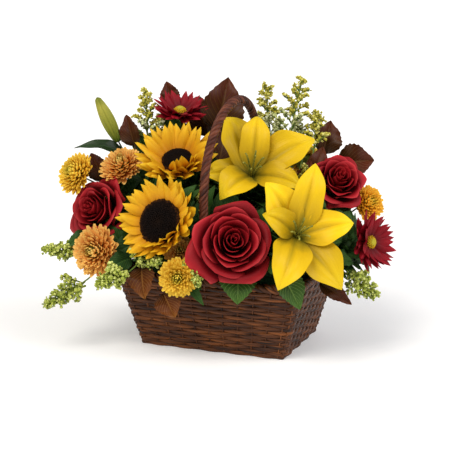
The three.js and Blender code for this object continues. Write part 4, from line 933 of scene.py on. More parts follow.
def rim_finish(name, stops, roughness, depth=0.4):
    """Florets or petals of a round head: the colour goes from its middle to its rim, uneven by piece."""
    made = bpy.data.materials.new(name)
    made.use_nodes = True
    tree = made.node_tree
    shader = tree.nodes["Principled BSDF"]
    rim = add(tree, "ShaderNodeAttribute", attribute_name="rim")
    tone = add(tree, "ShaderNodeAttribute", attribute_name="tone")
    uneven = add(tree, "ShaderNodeMath", {0: tone.outputs["Fac"], 1: 0.16, 2: -0.08}, operation="MULTIPLY_ADD")
    place = add(tree, "ShaderNodeMath", {0: rim.outputs["Fac"], 1: uneven.outputs[0]})
    colour = add(tree, "ShaderNodeValToRGB", {"Fac": place.outputs[0]}, stops=stops)
    spot = add(tree, "ShaderNodeTexCoord")
    noise = add(tree, "ShaderNodeTexNoise", {"Vector": spot.outputs["Object"], "Scale": 900.0, "Detail": 3.0})
    value = add(tree, "ShaderNodeMapRange", {"Value": noise.outputs["Fac"], "To Min": 0.7, "To Max": 1.3})
    toned = add(tree, "ShaderNodeHueSaturation", {"Color": colour.outputs["Color"], "Value": value.outputs[0]})
    tree.links.new(toned.outputs["Color"], shader.inputs["Base Color"])
    relief = add(tree, "ShaderNodeBump", {"Height": noise.outputs["Fac"], "Strength": 0.7,
                                          "Distance": depth * 0.001})
    tree.links.new(relief.outputs[0], shader.inputs["Normal"])
    shader.inputs["Roughness"].default_value = roughness
    shader.inputs["Specular IOR Level"].default_value = 0.12
    return made


def bracts(frame_matrix, cup, count, long, rng):
    """The green cup behind a bloom: pointed bracts in two rounds."""
    blades = []
    for k in range(count * 2):
        angle = (k + 0.5 * (k % 2)) * math.tau / count / 2 + rng.uniform(-0.1, 0.1)
        out = Vector((math.cos(angle), math.sin(angle), 0))
        root = out * cup * 0.35 + Vector((0, 0, -9))
        tip = out * (cup * 0.5 + long * rng.uniform(0.8, 1.1)) + Vector((0, 0, -6 - rng.uniform(0, 5)))
        blades.append((blade(np.array(leaf_rows(root, tip, long * 0.55, Vector((0, 0, 1)), 0.1, 0.2)), 0.9),
                       rng.random()))
    return blades


# Satin rays: burnt orange at the disc, golden at the tip. The disc's florets are matt, near black.
SUN_GOLD = leafy_finish("sunflower ray", [(0.0, "#86420c"), (0.16, "#bf7410"), (0.42, "#d89c14"), (0.75, "#e4b01a"), (1.0, "#f2cc2c")],
                        "long", 0.5, vein_colour="#c98a10", ribs=9.0, relief=0.5)
DAISY_RED = leafy_finish("dark red daisy ray", [(0.0, "#300206"), (0.35, "#6c0711"), (1.0, "#961120")], "long",
                         0.5, ribs=9.0, relief=0.4)
SEED_BROWN = rim_finish("sunflower disc florets", [(0.0, "#1c1008"), (0.45, "#0d0604"), (0.85, "#140905"),
                                                   (1.0, "#3a200c")], 0.9)
EYE_YELLOW = rim_finish("daisy eye florets", [(0.0, "#b0a42e"), (0.5, "#e2c22c"), (1.0, "#dca81e")], 0.75)
BRACT_GREEN = leafy_finish("bract", [(0.0, "#36521f"), (1.0, "#587a32")], "long", 0.6)

heads = []
for k, (name, bloom) in enumerate({**SUNFLOWERS, **DAISIES}.items()):
    rng = np.random.default_rng(80 + k)
    sun = name in SUNFLOWERS
    place = bloom_frame(bloom["at"], bloom["turn"], bloom["tilt"])
    size, plate, cup = bloom["size"], bloom["plate"], bloom["cup"]
    blooms.append((place, size * 0.9, 12))
    long = size - plate + (5 if sun else 3)
    slope = math.atan2(cup, size - plate)
    shapes = [ray(long, 12.5 if sun else 10.5, 0.12 if sun else 0.16, rng) for _ in range(4)]
    curl_towards, curl_more = bloom.get("curl", (0, 0))
    leans, reach = bloom.get("leans", (0.3, 0.75, 1.3)), bloom.get("reach", 1.0)
    spots = ray_spots(18 if sun else 14, [
        (plate - inset, height, slope * lean, size_share * reach) for inset, height, lean, size_share in
        zip((1.2, 1.6, 2.0), (-4.6, -3.4, -2.4), leans, (1.0, 0.98, 0.88))], rng, math.radians(curl_towards),
        curl_more)
    rays = spray(name + "_petals", spots, shapes, SUN_GOLD if sun else DAISY_RED, place)
    stand_for(rays, "sunflower_ray" if sun else "daisy_ray", name + "_rays")
    bead = floret(1.35 if sun else 0.75, 2.8 if sun else 1.6, 6, 0.15)
    disc = grow(name + ("_seeds" if sun else "_florets"), bead, HEAD, place @ Matrix.Translation((0, 0, -1.4)),
                count=380 if sun else 70, radius=plate + 0.4, rise=6.5 if sun else 4.0,
                dimple=2.2 if sun else 0.6, lean_middle=0.0, lean_rim=0.9, size_middle=0.75,
                size_rim=1.15 if plate < 20 else 1.5, jitter=0.12, seed=k, finish=SEED_BROWN if sun else EYE_YELLOW)
    stand_for(disc, "sunflower_disc" if sun else "daisy_eye", name + ("_disc" if sun else "_eye"))
    bed = [(r * (plate - 1), z) for r, z in ((0.3, 4.4), (0.7, 3.6), (0.94, 0.4), (0.94, -3.0))]
    core = skin(name + "_disc_bed", [np.array([place @ Vector((r * math.cos(a), r * math.sin(a), z))
                                               for a in np.linspace(0, math.tau, 25)[:-1]]) for r, z in bed],
                SEED_BROWN if sun else EYE_YELLOW, "sunflower_disc" if sun else "daisy_eye")
    cup_piece = sewn(name + "_bracts", bracts(place, plate if sun else 7, 9 if sun else 7, 16 if sun else 8, rng),
                     BRACT_GREEN, place)
    stand_for(cup_piece, "stem")
    line = stem_path(place @ Vector((0, 0, -8)), facing(bloom["turn"], bloom["tilt"]))
    girth = 3.4 if sun else 1.8
    heads.append((line, {"girth": np.array([girth] * (len(line) - 2) + [girth * 1.3, girth * 2.2])}))
stems = grow("sunflower_and_daisy_stems", lines_mesh(heads), FREE_STRANDS, step=4.0, sides=10, wander=0.8,
             finish=STEM_GREEN)
stand_for(stems, "stem", *(name + "_stem" for name in (*SUNFLOWERS, *DAISIES)))

# ---------------------------------------------------------------- cushion mums
# Small double mums, bronze and gold: a dome of narrow petals that stand up in the middle and lie
# flat at the rim, on branched stems.

MUMS = {
    "mum_far_left": {"at": (-188, 73, -6), "turn": -46, "tilt": 20, "size": 27, "gold": True},
    "mum_upper_left": {"at": (-131, 84, -2), "turn": -18, "tilt": 44, "size": 28, "gold": False},
    "mum_lower_left": {"at": (-164, -22, 46), "turn": -30, "tilt": 0, "size": 31, "gold": False},
    "mum_front_bronze": {"at": (-60, -21, 71), "turn": -6, "tilt": 20, "size": 21, "gold": False},
    "mum_front_gold": {"at": (-63, -54, 105), "turn": -6, "tilt": -8, "size": 23, "gold": True},
    "mum_right": {"at": (168, 37, 4), "turn": 36, "tilt": 12, "size": 23, "gold": True},
    "mum_back_bronze": {"at": (84, 20, -118), "turn": 160, "tilt": 16, "size": 30, "gold": False},
    "mum_back_gold": {"at": (92, 88, -84), "turn": 160, "tilt": 40, "size": 28, "gold": True},
}
MUM_SPRAYS = {
    "mum_left_stem": ("mum_upper_left", "mum_far_left"),
    "mum_lower_left_stem": ("mum_lower_left",),
    "mum_front_stem": ("mum_front_bronze", "mum_front_gold"),
    "mum_right_stem": ("mum_right",),
    "mum_back_stem": ("mum_back_bronze", "mum_back_gold"),
}


def mum_petal(length, wide):
    """A spoon-shaped petal that stands along +Z, its hollow face inwards."""
    s = np.linspace(0, 1, 6)[:, None]
    j = np.linspace(-1, 1, 4)[None, :]
    half = wide / 2 * (0.45 + 0.7 * np.sin(np.pi * s * 0.72)) * (1 - 0.62 * s ** 4)
    x = length * (0.14 * s - 0.3 * s * s) + 0.7 * half * (1 - j * j)
    return sewn("petal", [(blade(np.stack([x, half * j, length * s + 0 * j], -1), 0.7), 0.5)])


def mum_finish(name, stops, tip_colour, foot_shade=0.25):
    """A mum's petals: the colour goes from its middle to its rim, each petal pales to its tip, and painted shade
    darkens the foot of each petal.
    """
    made = rim_finish(name, stops, 0.55, 0.2)
    tree = made.node_tree
    shader = tree.nodes["Principled BSDF"]
    toned = shader.inputs["Base Color"].links[0].from_socket
    uv = add(tree, "ShaderNodeUVMap", uv_map="petal")
    parts = add(tree, "ShaderNodeSeparateXYZ", {"Vector": uv.outputs[0]})
    tone = add(tree, "ShaderNodeAttribute", attribute_name="tone")
    tip = add(tree, "ShaderNodeMapRange", {"Value": parts.outputs[1], "From Min": 0.3, "From Max": 0.9})
    share = add(tree, "ShaderNodeMath", {0: tone.outputs["Fac"], 1: 0.5, 2: 0.5}, operation="MULTIPLY_ADD")
    pale = add(tree, "ShaderNodeMath", {0: share.outputs[0], 1: tip.outputs[0]}, operation="MULTIPLY")
    mixed = add(tree, "ShaderNodeMix", {0: pale.outputs[0], 6: toned, 7: linear(tip_colour)}, data_type="RGBA")
    # Painted shade: each petal is darker towards its foot, where the petals crowd into the dome.
    foot = add(tree, "ShaderNodeMapRange", {"Value": parts.outputs[1], "From Max": 0.6, "To Min": foot_shade,
                                            "To Max": 1.0})
    deep = add(tree, "ShaderNodeHueSaturation", {"Color": mixed.outputs[2], "Value": foot.outputs[0]})
    tree.links.new(deep.outputs["Color"], shader.inputs["Base Color"])
    return made


# Satin petals: bronze heads are orange-red with golden tips, gold heads yellow, both green in the middle.
MUM_BRONZE = mum_finish("bronze mum petal", [(0.0, "#a0a032"), (0.2, "#cc9c30"), (0.36, "#e6862a"),
                                             (1.0, "#e27a22")], "#ffdf80")
MUM_GOLD = mum_finish("gold mum petal", [(0.0, "#a2a832"), (0.2, "#c8b02c"), (0.42, "#e6ae20"),
                                         (1.0, "#e8a81a")], "#ffe45c")
# The gold head on the right, which the lamps leave in shade, gets its own copy. It is a brighter, more orange gold with
# less painted shade at the petal feet, so painted light stands in for the light it misses.
MUM_GOLD_PAINTED_LIGHT = mum_finish("amber mum petal", [(0.0, "#b4ac2c"), (0.2, "#e0b42a"), (0.42, "#f8b022"),
                                           (1.0, "#f6a61e")], "#ffd850", 0.5)
mum_lines = []
for k, (name, mum) in enumerate(MUMS.items()):
    place = bloom_frame(mum["at"], mum["turn"], mum["tilt"])
    size = mum["size"]
    slot, finish = ("mum_gold", MUM_GOLD) if mum["gold"] else ("mum_bronze", MUM_BRONZE)
    # mum_right takes the brighter gold copy, which paints in the light that it does not get.
    if name == "mum_right":
        finish = MUM_GOLD_PAINTED_LIGHT
    blooms.append((place, size * 0.95, size * 0.4))
    head = grow(name + "_petals", mum_petal(size * 0.5, size * 0.21), HEAD,
                place @ Matrix.Translation((0, 0, -size * 0.22)), count=190, radius=size * 0.52,
                rise=size * 0.34, lean_middle=0.05, lean_rim=1.75, size_middle=0.45, size_rim=1.05,
                jitter=0.2, seed=20 + k, finish=finish)
    stand_for(head, slot, name)
    dome = [(r * size, z * size) for r, z in ((0.12, 0.16), (0.34, 0.08), (0.5, -0.14), (0.4, -0.36))]
    skin(name + "_heart", [np.array([place @ Vector((r * math.cos(a), r * math.sin(a), z))
                                     for a in np.linspace(0, math.tau, 21)[:-1]]) for r, z in dome],
         finish, slot)
for names in MUM_SPRAYS.values():
    main = None
    for name in names:
        mum = MUMS[name]
        place = bloom_frame(mum["at"], mum["turn"], mum["tilt"])
        out = facing(mum["turn"], mum["tilt"])
        end = place @ Vector((0, 0, -mum["size"] * 0.3))
        if main is None:
            main = stem_path(end, out)
            line, girth = main, 1.8
        else:
            fork = main[6]
            bend = end - out * 0.36 * (fork - end).length
            line = [fork * (1 - t) ** 2 + bend * 2 * t * (1 - t) + end * t * t for t in np.linspace(0, 1, 9)]
            girth = 1.6
        mum_lines.append((line, {"girth": np.array([girth] * (len(line) - 2) + [girth * 1.5, mum["size"] * 0.2])}))
stems = grow("mum_stems", lines_mesh(mum_lines), FREE_STRANDS, step=4.0, sides=8, wander=0.8, finish=STEM_GREEN)
stand_for(stems, "stem", *MUM_SPRAYS)

# ---------------------------------------------------------------- solidago
# Feathery plumes: fine side branches crowded with tiny yellow-green florets.

PLUMES = {
    "solidago_top_left": {"from": (-99, 118, -38), "tip": (-101, 173, -36), "wide": 17},
    "solidago_top_middle": {"from": (48, 124, -56), "tip": (42, 179, -54), "wide": 19},
    "solidago_top_right": {"from": (74, 126, -10), "tip": (87, 187, -16), "wide": 22},
    "solidago_right": {"from": (101, 104, -10), "tip": (104, 145, -20), "wide": 17},
    "solidago_left": {"from": (-188, -24, 12), "tip": (-225, -19, 14), "wide": 10, "slope": 0.9},
    "solidago_low_left": {"from": (-180, -62, 26), "tip": (-222, -88, 34), "wide": 15, "slope": 0.95,
                          "shift": -6},
    "solidago_front_left": {"from": (-128, -50, 78), "tip": (-160, -62, 92), "wide": 12, "slope": 1,
                            "shift": -12},
    "solidago_low_right": {"from": (143, -52, 70), "tip": (176, -77, 72), "wide": 14, "slope": 0.95},
}
SMALL_PLUMES = {  # short side plumes between the blooms
    "sunflower_side": {"from": (-36, 22, 56), "tip": (-31, 60, 60), "wide": 9},
    "mum_side": {"from": (-112, -30, 62), "tip": (-80, -38, 98), "wide": 11, "slope": 1},
    "rose_side": {"from": (-47, -38, 92), "tip": (-37, -66, 116), "wide": 9, "slope": 1},
    "lily_side": {"from": (84, 52, 6), "tip": (92, 84, 10), "wide": 8},
    "right_side": {"from": (122, 6, 20), "tip": (146, 4, 34), "wide": 8},
    "middle_side": {"from": (54, 106, -44), "tip": (60, 140, -42), "wide": 10},
    "top_side": {"from": (86, 108, -26), "tip": (78, 142, -26), "wide": 10},
    "daisy_side": {"from": (-88, 112, -40), "tip": (-84, 146, -42), "wide": 9},
    "back_side": {"from": (30, 82, -92), "tip": (36, 120, -106), "wide": 11},
    "back_left_side": {"from": (-40, 62, -100), "tip": (-50, 98, -118), "wide": 11},
}
# Tiny matt florets: olive to yellow in the high plumes, and greener in the young ones that hang low.
PLUME_YELLOW = rim_finish("open solidago floret", [(0.06, "#a09a32"), (0.5, "#c8be48"), (0.94, "#e6e084")], 0.8)
PLUME_GREEN = rim_finish("young solidago floret", [(0.06, "#8a9838"), (0.5, "#b0ba50"), (0.94, "#d8de82")], 0.8)
PLUME_PALE = rim_finish("fading solidago floret", [(0.06, "#a6ad66"), (0.5, "#d4da98"), (0.94, "#f2f3cc")], 0.8)
PLUME_STEM = plain_finish("solidago stem", "#4c6a26", "#7a8c3a", 9, 0.55, 0.2)
branches, high_spots, low_spots, pale_spots = [], [], [], []
for k, (name, plume) in enumerate({**PLUMES, **SMALL_PLUMES}.items()):
    rng = np.random.default_rng(120 + k)
    tip, start = seen(*plume["tip"]), seen(*plume["from"])
    out = (tip - start).normalized()
    length = (tip - start).length
    line = stem_path(start, out, plume.get("slope", 0.75), plume.get("shift", 0))
    branches.append(([*line, start.lerp(tip, 0.5), start.lerp(tip, 0.92)],
                     {"girth": np.array([1.4] * len(line) + [1.1, 0.7])}))
    side = Vector((0, 0, 1)).cross(out).normalized()
    racemes, florets, last = (17, 26, 1.05) if name in PLUMES else (12, 20, 0.92)
    for m in range(racemes):
        share = m / (racemes - 1)
        root = start + out * length * (share * last - 0.14)
        spread = Matrix.Rotation(m * 2.4, 3, out) @ side
        reach = plume["wide"] * (1.35 - 1.05 * share) * rng.uniform(0.7, 1.15)
        arch = [root + spread * reach * t * 0.95 + out * reach * (0.9 * t - 0.25 * t * t)
                + Vector((0, 0, 0.25 * reach * t * (1 - t))) for t in np.linspace(0, 1, 9)]
        branches.append((arch, {"girth": 0.5}))
        for n in range(florets):
            t = 0.22 + 0.78 * (n / (florets - 1)) ** 0.85
            at = arch[int(t * 7.999)].lerp(arch[int(t * 7.999) + 1], t * 7.999 % 1)
            way = (Vector(rng.normal(size=3)).normalized() + out * 0.4 + Vector((0, 0, 0.4))).normalized()
            turn = way.to_track_quat("Z", "Y").to_matrix().to_4x4()
            turn.translation = at + way * rng.uniform(0.8, 2.9)
            size = rng.uniform(0.95, 1.5) * (1.08 - 0.34 * share)
            pale = name in ("middle_side", "top_side") or (name.startswith("solidago_top") and share < 0.25)
            (pale_spots if pale else low_spots if plume["tip"][1] < 0 else high_spots).append(
                (turn, (size, size, size), int(rng.integers(2)), rng.random()))
beads = [floret(1.5, 2.6, 5, 0.3), floret(1.2, 3.0, 4, 0.25)]
high_plumes = spray("solidago_high_florets", high_spots, beads, PLUME_YELLOW)
stand_for(high_plumes, "solidago", *(name for name, plume in PLUMES.items() if plume["tip"][1] >= 0))
low_plumes = spray("solidago_low_florets", low_spots, beads, PLUME_GREEN)
stand_for(low_plumes, "solidago", *(name for name, plume in PLUMES.items() if plume["tip"][1] < 0))
pale_plumes = spray("solidago_pale_florets", pale_spots, beads, PLUME_PALE)
stand_for(pale_plumes, "solidago")
twigs = grow("solidago_stems", lines_mesh(branches), FREE_STRANDS, step=2.5, sides=5, finish=PLUME_STEM)
stand_for(twigs, "solidago")

# ---------------------------------------------------------------- copper and green leaves
# Broad copper-brown leaves with golden veins on brown sprigs, and two broad green leaves that hang
# over the border.

COPPER = {
    "copper_back": {"leaves": (((-16, 122, -52), (-2, 187, -48), 56, 10, 20, 0.08),
                               ((-68, 152, -68), (-76, 182, -68), 26, -10, 20, 0.05),
                               ((-28, 116, -70), (-36, 164, -74), 40, -20, 25, 0.1))},
    "copper_left": {"shift": -4, "leaves": (((-114, 104, -28), (-124, 142, -31), 26, -20, 20, 0.06),
                                            ((-150, 62, -30), (-166, 96, -42), 28, -20, 15, 0.06))},
    "copper_right": {"leaves": (((111, 94, -22), (121, 135, -30), 36, 12, 10, 0.06),
                                ((128, 84, -22), (173, 87, -26), 43, 10, 4, 0.1),
                                ((82, 44, 4), (97, 88, -2), 26, 10, 20, 0.08))},
    "copper_front": {"slope": 1, "shift": 5, "leaves": (((-106, -42, 66), (-102, -80, 80), 34, -10, 10, 0.1),
                                                        ((-80, -72, 84), (-66, -102, 84), 32, 0, 5, 0.06))},
}
GREENS = {
    "green_leaf_front": {"slope": 1, "leaves": (((10, -46, 86), (9, -86, 98), 44, 0, 20, 0.1),)},
    "green_leaf_right": {"slope": 1, "leaves": (((62, -50, 100), (84, -92, 104), 34, 10, 20, 0.08),)},
}
# Glossy preserved leaves: dark brown-red at the back of the basket, orange-brown where they hang in front.
COPPER_LEAF = leafy_finish("preserved copper leaf", [(0.0, "#2a1806"), (0.35, "#44230a"), (0.7, "#4c1c09"),
                                                     (1.0, "#5c270b")], "feather", 0.45, vein_colour="#6a4a20",
                           gloss=0.05)
AMBER_LEAF = leafy_finish("preserved amber leaf", [(0.0, "#2e1607"), (0.4, "#54290c"), (0.8, "#6c3910"),
                                                   (1.0, "#925c24")], "feather", 0.45, vein_colour="#9a6a30",
                          gloss=0.05)
BROWN_TWIG = plain_finish("brown twig", "#2c1a10", "#4c3320", 9, 0.6, 0.2)
for name, sprig in {**COPPER, **GREENS}.items():
    copper = name in COPPER
    lines, blades = [], []
    for k, (root, tip, wide, turn, tilt, curl) in enumerate(sprig["leaves"]):
        start, end = seen(*root), seen(*tip)
        out = (end - start).normalized()
        if k == 0:
            main = stem_path(start, out, sprig.get("slope", 0.75), sprig.get("shift", 0))
            lines.append(([*main, start + out * 5], {"girth": 1.5}))
        else:
            joint = main[8]
            lines.append((flowing([joint, joint.lerp(start, 0.5) + Vector((0, 0, 2)), start.lerp(end, 0.08)], 4),
                          {"girth": 1.2}))
        blades.append((blade(leaf_rows(start, end, wide, facing(turn, tilt), curl, 2.2 if copper else 0.6,
                                       0.04, fold=0.3 if copper else 0.2), 1.0), 0.3 + 0.3 * k))
        if root[2] > 50:
            blooms.append((bloom_frame((Vector(root) + Vector(tip)) / 2, turn, tilt), wide * 0.75, 3))
    finish = AMBER_LEAF if name == "copper_front" else COPPER_LEAF if copper else GREEN_LEAF
    leaves = sewn(name + "_blades", blades, finish, Matrix.Identity(4))
    stand_for(leaves, "copper_leaf" if copper else "green_leaf", name)
    twig = grow(name + "_twig", lines_mesh(lines), FREE_STRANDS, step=3.0, sides=8,
                finish=BROWN_TWIG if copper else STEM_GREEN)
    stand_for(twig, "copper_leaf" if copper else "green_leaf")

# ---------------------------------------------------------------- leaves on the stems
# Serrated rose and mum leaves grow along the stems and under the blooms, and leafy sprigs stand in
# the foam between them, so the middle of the arrangement is dark green. Each leaf is kept clear of
# the blooms, the hoop and the border.

LEAF_MODELS = ((44, 8, 22, 0.06), (42, 8, 26, 0.12), (50, 6, 14, 0.03),  # reach, stalk, width, depth of teeth
               (68, 30, 24, 0.06), (60, 26, 26, 0.12))
LEAF_RISES = (1.1, 0.75, 0.4, 0.1)
SPRIGS = 84
SPRIG_DOME = (148, 98, 96)
OUTER_DOME = (176, 122, 132)  # half sizes of the dome that no leaf leaves, over a point 100 mm up
RIM_RINGS = ((150, 78, 107, 76), (124, 56, 112, 56), (84, 44, 113, 36))  # size, height and leaves
GRIP_GAP = ((-16, 28), (-10, 70), (194, 260))
SINGLE_LEAVES = (  # root, tip, width, the way it faces, and how much it arches
    (((108, -60, 80), (146, -86, 88), 20, 10, 10, 0.06), True),
    (((-14, 78, -44), (-5, 126, -52), 40, 0, 10, 0.08), True),
    (((-50, 108, -46), (-84, 140, -52), 28, 0, 20, 0.08), False),
    (((-96, 52, -24), (-130, 92, -30), 32, 0, 20, 0.08), False),
    (((-104, 34, -10), (-146, 66, -18), 32, -20, 20, 0.1), False),
    (((-108, 6, 12), (-152, 18, 6), 30, -20, 10, 0.1), False),
    (((-104, -8, 26), (-146, -32, 34), 30, -20, 10, 0.1), False),
    (((-100, 90, -40), (-112, 126, -46), 24, -10, 20, 0.1), False),
    (((-126, 66, -6), (-150, 40, 2), 24, -30, 10, 0.08), False),
    (((-168, -2, 6), (-196, -16, 12), 20, -30, 10, 0.08), False),
    (((-118, -30, 50), (-150, -46, 62), 26, -20, 10, 0.1), False),
    (((120, 20, 30), (142, 10, 34), 22, 20, 10, 0.08), False),
    (((108, 22, 0), (150, 36, -10), 28, 20, 10, 0.08), False),
    (((104, 50, -10), (128, 22, -2), 26, 20, 10, 0.08), False),
    (((128, -10, 40), (150, -30, 50), 22, 20, 10, 0.08), False),
    (((24, 12, 36), (60, 42, 24), 26, 0, 10, 0.05), False),
    (((58, 38, 10), (88, 68, 0), 30, 10, 10, 0.06), False),
    (((98, 64, -8), (112, 104, -14), 28, 10, 10, 0.06), True),
    (((-124, -22, 28), (-146, 10, 22), 26, -20, 10, 0.06), False),
    (((-46, 30, 30), (-30, 62, 24), 24, 0, 10, 0.05), False),
)

leaf_meshes = []
for reach, stalk, wide, teeth in LEAF_MODELS:
    rows = leaf_rows(Vector((stalk, 0, 0)), Vector((reach, 0, 0)), wide, Vector((0, 0, 1)), 0.07, 0.6, teeth,
                     1.0, 0.14, 9, 5)
    strip = np.linspace((0, 0, 0), (stalk + 1, 0, 0), 3)[:, None] + np.linspace(-0.6, 0.6, 3)[None, :, None] * (
        0, 1, 0)
    leaf_meshes.append(sewn("leaf", [(blade(rows, 0.7), 0.5), (blade(strip, 1.2), 0.5)]))
leaf_points = [np.array([v.co for v in mesh.vertices]) for mesh in leaf_meshes]
leaf_faces = [[tuple(p.vertices) for p in mesh.polygons] for mesh in leaf_meshes]

depsgraph = bpy.context.evaluated_depsgraph_get()
neighbours = [BVHTree.FromObject(piece, depsgraph) for piece in bpy.data.objects if piece.type == "MESH" and (
    piece.name in ("basket_hoop", "basket_border", "basket_weavers", "liner")
    or piece.name.endswith(("_petals", "_seeds", "_blades", "_closed", "_pistil", "bud_leaf")))]


def in_the_way(point):
    """Whether a point stands before a bloom's face or in the gap under the hoop."""
    for place, radius, depth in blooms:
        own = place.inverted() @ point
        if -2 < own.z < 90 and math.hypot(own.x, own.y) < radius * 0.92:
            return True
    return all(low < value < high for value, (low, high) in zip(point, GRIP_GAP))


def leaf_fits(turn, size, pick):
    """Whether a leaf in its place touches none of its neighbours and hides no bloom."""
    placed = leaf_points[pick] * size @ np.array(turn.to_3x3()).T + np.array(turn.translation)
    if any(in_the_way(Vector(point)) for point in placed[::6]) or placed[:, 2].min() < 30:
        return False
    if np.linalg.norm((placed - (0, 0, 100)) / OUTER_DOME, axis=1).max() > 1:
        return False
    tree = BVHTree.FromPolygons((placed * 0.001).tolist(), leaf_faces[pick])
    return not any(tree.overlap(other) for other in neighbours)


rng = np.random.default_rng(200)
rim_spots, spots, sprigs = [], [], []
stem_lines = [[Vector(point) for point in line] for line, _ in (*rose_stems, *lily_stems, *heads, *mum_lines)]
for k in range(SPRIGS):
    around = k * 2.4
    rise = math.radians(8 + 74 * ((k * 0.618) % 1))
    far = rng.uniform(0.7, 1.0)
    tip = Vector((SPRIG_DOME[0] * math.cos(around) * math.cos(rise), SPRIG_DOME[1] * math.sin(around) * math.cos(rise),
                  0)) * far + Vector((0, 0, 104 + SPRIG_DOME[2] * far * math.sin(rise)))
    line = stem_path(tip, (tip - STEM_FOCUS).normalized(), 0.62)
    if not any(in_the_way(point) or min((other.find_nearest(point * 0.001, 0.2)[3] or 1) for other in neighbours)
               < 0.0022 for point in line[2:]):
        sprigs.append((line, {"girth": 1.1}))
        stem_lines.append(line)
# Leaves round the edge of the foam lean out over the border and hide the foam and the liner.
for long, deep, height, count in RIM_RINGS:
    foam_edge, edge_ways = rounded(long, deep, 20, 2)
    for k in range(count):
        at = int((k + 0.5) / count * len(foam_edge))
        root = Vector(foam_edge[at] + (0, 0, height - 3 * (k % 2)))
        out = Vector(edge_ways[at]) + Vector((-edge_ways[at][1], edge_ways[at][0], 0)) * rng.uniform(-0.5, 0.5)
        pick, size, tone = 3 + int(rng.integers(2)), rng.uniform(0.9, 1.15), rng.random()
        for rise in (0.05, 0.18, 0.35, 0.6, 0.9):
            way = (out.normalized() + Vector((0, 0, rise + rng.uniform(0, 0.12)))).normalized()
            over = way.cross(Vector((0, 0, 1))).normalized()
            turn = Matrix((way, -over, way.cross(-over))).transposed().to_4x4()
            turn.translation = root
            if leaf_fits(turn, size, pick):
                rim_spots.append((turn, (size, size, size), pick, tone))
                break
for line in stem_lines:
    steps = 15
    for m in range(steps):
        share = 0.2 + 0.77 * m / (steps - 1) + rng.uniform(-0.03, 0.03)
        at = min(share, 0.99) * (len(line) - 1)
        low = int(at)
        root = line[low].lerp(line[low + 1], at - low)
        along = (line[low + 1] - line[low]).normalized()
        side = along.orthogonal().normalized()
        side.rotate(Matrix.Rotation(m * 2.4 + rng.uniform(-0.5, 0.5), 3, along))
        size = rng.uniform(0.75, 1.12)
        pick = int(rng.integers(5) if share > 0.6 else rng.integers(3))
        tone = rng.random()
        for rise in LEAF_RISES:
            way = (side + along * rise).normalized()
            over = way.cross(along + Vector((0, 0, 0.6))).normalized()
            turn = Matrix((way, -over, way.cross(-over))).transposed().to_4x4()
            turn.translation = root
            if leaf_fits(turn, size, pick):
                spots.append((turn, (size, size, size), pick, tone))
                break
# Thin matt leaves in deep green, a little lighter at the tip, with pale side veins.
DARK_LEAF = leafy_finish("dark stem leaf", [(0.0, "#15280e"), (0.5, "#27471a"), (1.0, "#3d6028")], "feather", 0.5,
                         vein_colour="#567a3a")
leaves = spray("stem_leaves", spots, leaf_meshes, DARK_LEAF)
stand_for(leaves, "green_leaf")
leaves = spray("rim_leaves", rim_spots, leaf_meshes, DARK_LEAF)
stand_for(leaves, "green_leaf")
twigs = grow("leafy_sprigs", lines_mesh(sprigs), FREE_STRANDS, step=4.0, sides=6, finish=STEM_GREEN)
stand_for(twigs, "stem")
stalks, singles = [], {True: [], False: []}
for (root, tip, wide, turn, tilt, curl), copper in SINGLE_LEAVES:
    start, end = seen(*root), seen(*tip)
    joint = min((point for line in stem_lines for point in line[3:]), key=lambda point: (point - start).length)
    stalks.append((flowing([joint, joint.lerp(start, 0.5) + Vector((0, 0, 3)), start.lerp(end, 0.1)], 4),
                   {"girth": 1.0}))
    singles[copper].append((blade(leaf_rows(start, end, wide, facing(turn, tilt), curl, 1.2, 0.04), 1.0),
                            rng.random()))
for copper, finish in ((True, COPPER_LEAF), (False, DARK_LEAF)):
    piece = sewn("single_copper_leaves" if copper else "single_dark_leaves", singles[copper], finish,
                 Matrix.Identity(4))
    stand_for(piece, "copper_leaf" if copper else "green_leaf")
twigs = grow("single_leaf_stalks", lines_mesh(stalks), FREE_STRANDS, step=3.0, sides=6, finish=STEM_GREEN)
stand_for(twigs, "stem")
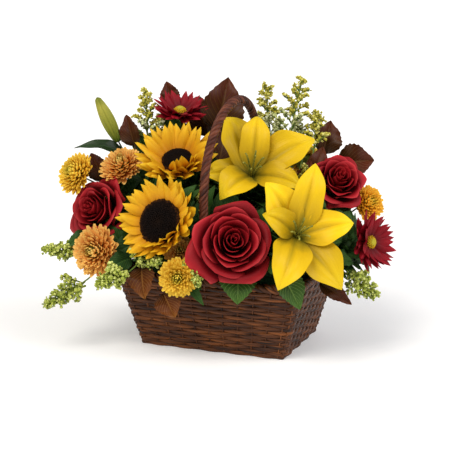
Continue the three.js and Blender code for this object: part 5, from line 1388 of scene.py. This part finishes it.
# ---------------------------------------------------------------- studio
# A white table without an end, a wide soft light from the upper left, and a weaker one from the
# right that catches the end of the basket.

camera = bpy.data.objects.new("camera", bpy.data.cameras.new("camera"))
bpy.context.scene.collection.objects.link(camera)
camera.location = (AIM + TOWARDS * EYE_FAR) * 0.001
camera.rotation_euler = TOWARDS.to_track_quat("Z", "Y").to_euler()
camera.data.lens = 120
camera.data.shift_x = -5 / 450
camera.data.shift_y = 8 / 450
bpy.context.scene.camera = camera

floor_mesh = bpy.data.meshes.new("floor")
floor_mesh.from_pydata([(-9, -9, 0), (9, -9, 0), (9, 9, 0), (-9, 9, 0)], [], [(0, 1, 2, 3)])
floor = bpy.data.objects.new("floor", floor_mesh)
bpy.context.scene.collection.objects.link(floor)
paper = bpy.data.materials.new("white card")
paper.use_nodes = True
card = paper.node_tree.nodes["Principled BSDF"].inputs
card["Base Color"].default_value = linear("#f2f2f2")
card["Roughness"].default_value = 0.9
card["Emission Color"].default_value = linear("#ffffff")
card["Emission Strength"].default_value = 0.18
floor_mesh.materials.append(paper)


def soft_light(name, turn, rise, strength, colour):
    """An even light from far off, soft as a wide lamp: from the viewer's left or right, and up."""
    lamp = bpy.data.lights.new(name, "SUN")
    lamp.angle = 0.7
    lamp.energy = strength
    lamp.color = linear(colour)[:3]
    made = bpy.data.objects.new(name, lamp)
    bpy.context.scene.collection.objects.link(made)
    way = EYE_TURN + math.radians(turn)
    lift = math.radians(rise)
    made.rotation_euler = Vector((math.sin(way) * math.cos(lift), -math.cos(way) * math.cos(lift),
                                  math.sin(lift))).to_track_quat("Z", "Y").to_euler()


soft_light("key", -42, 50, 2.1, "#fffaf2")
soft_light("side", 66, 36, 1.5, "#fbfaff")
world = bpy.data.worlds.new("white studio")
world.use_nodes = True
world.node_tree.nodes["Background"].inputs["Color"].default_value = linear("#ffffff")
world.node_tree.nodes["Background"].inputs["Strength"].default_value = 0.44
bpy.context.scene.world = world
bpy.context.scene.view_settings.view_transform = "Standard"
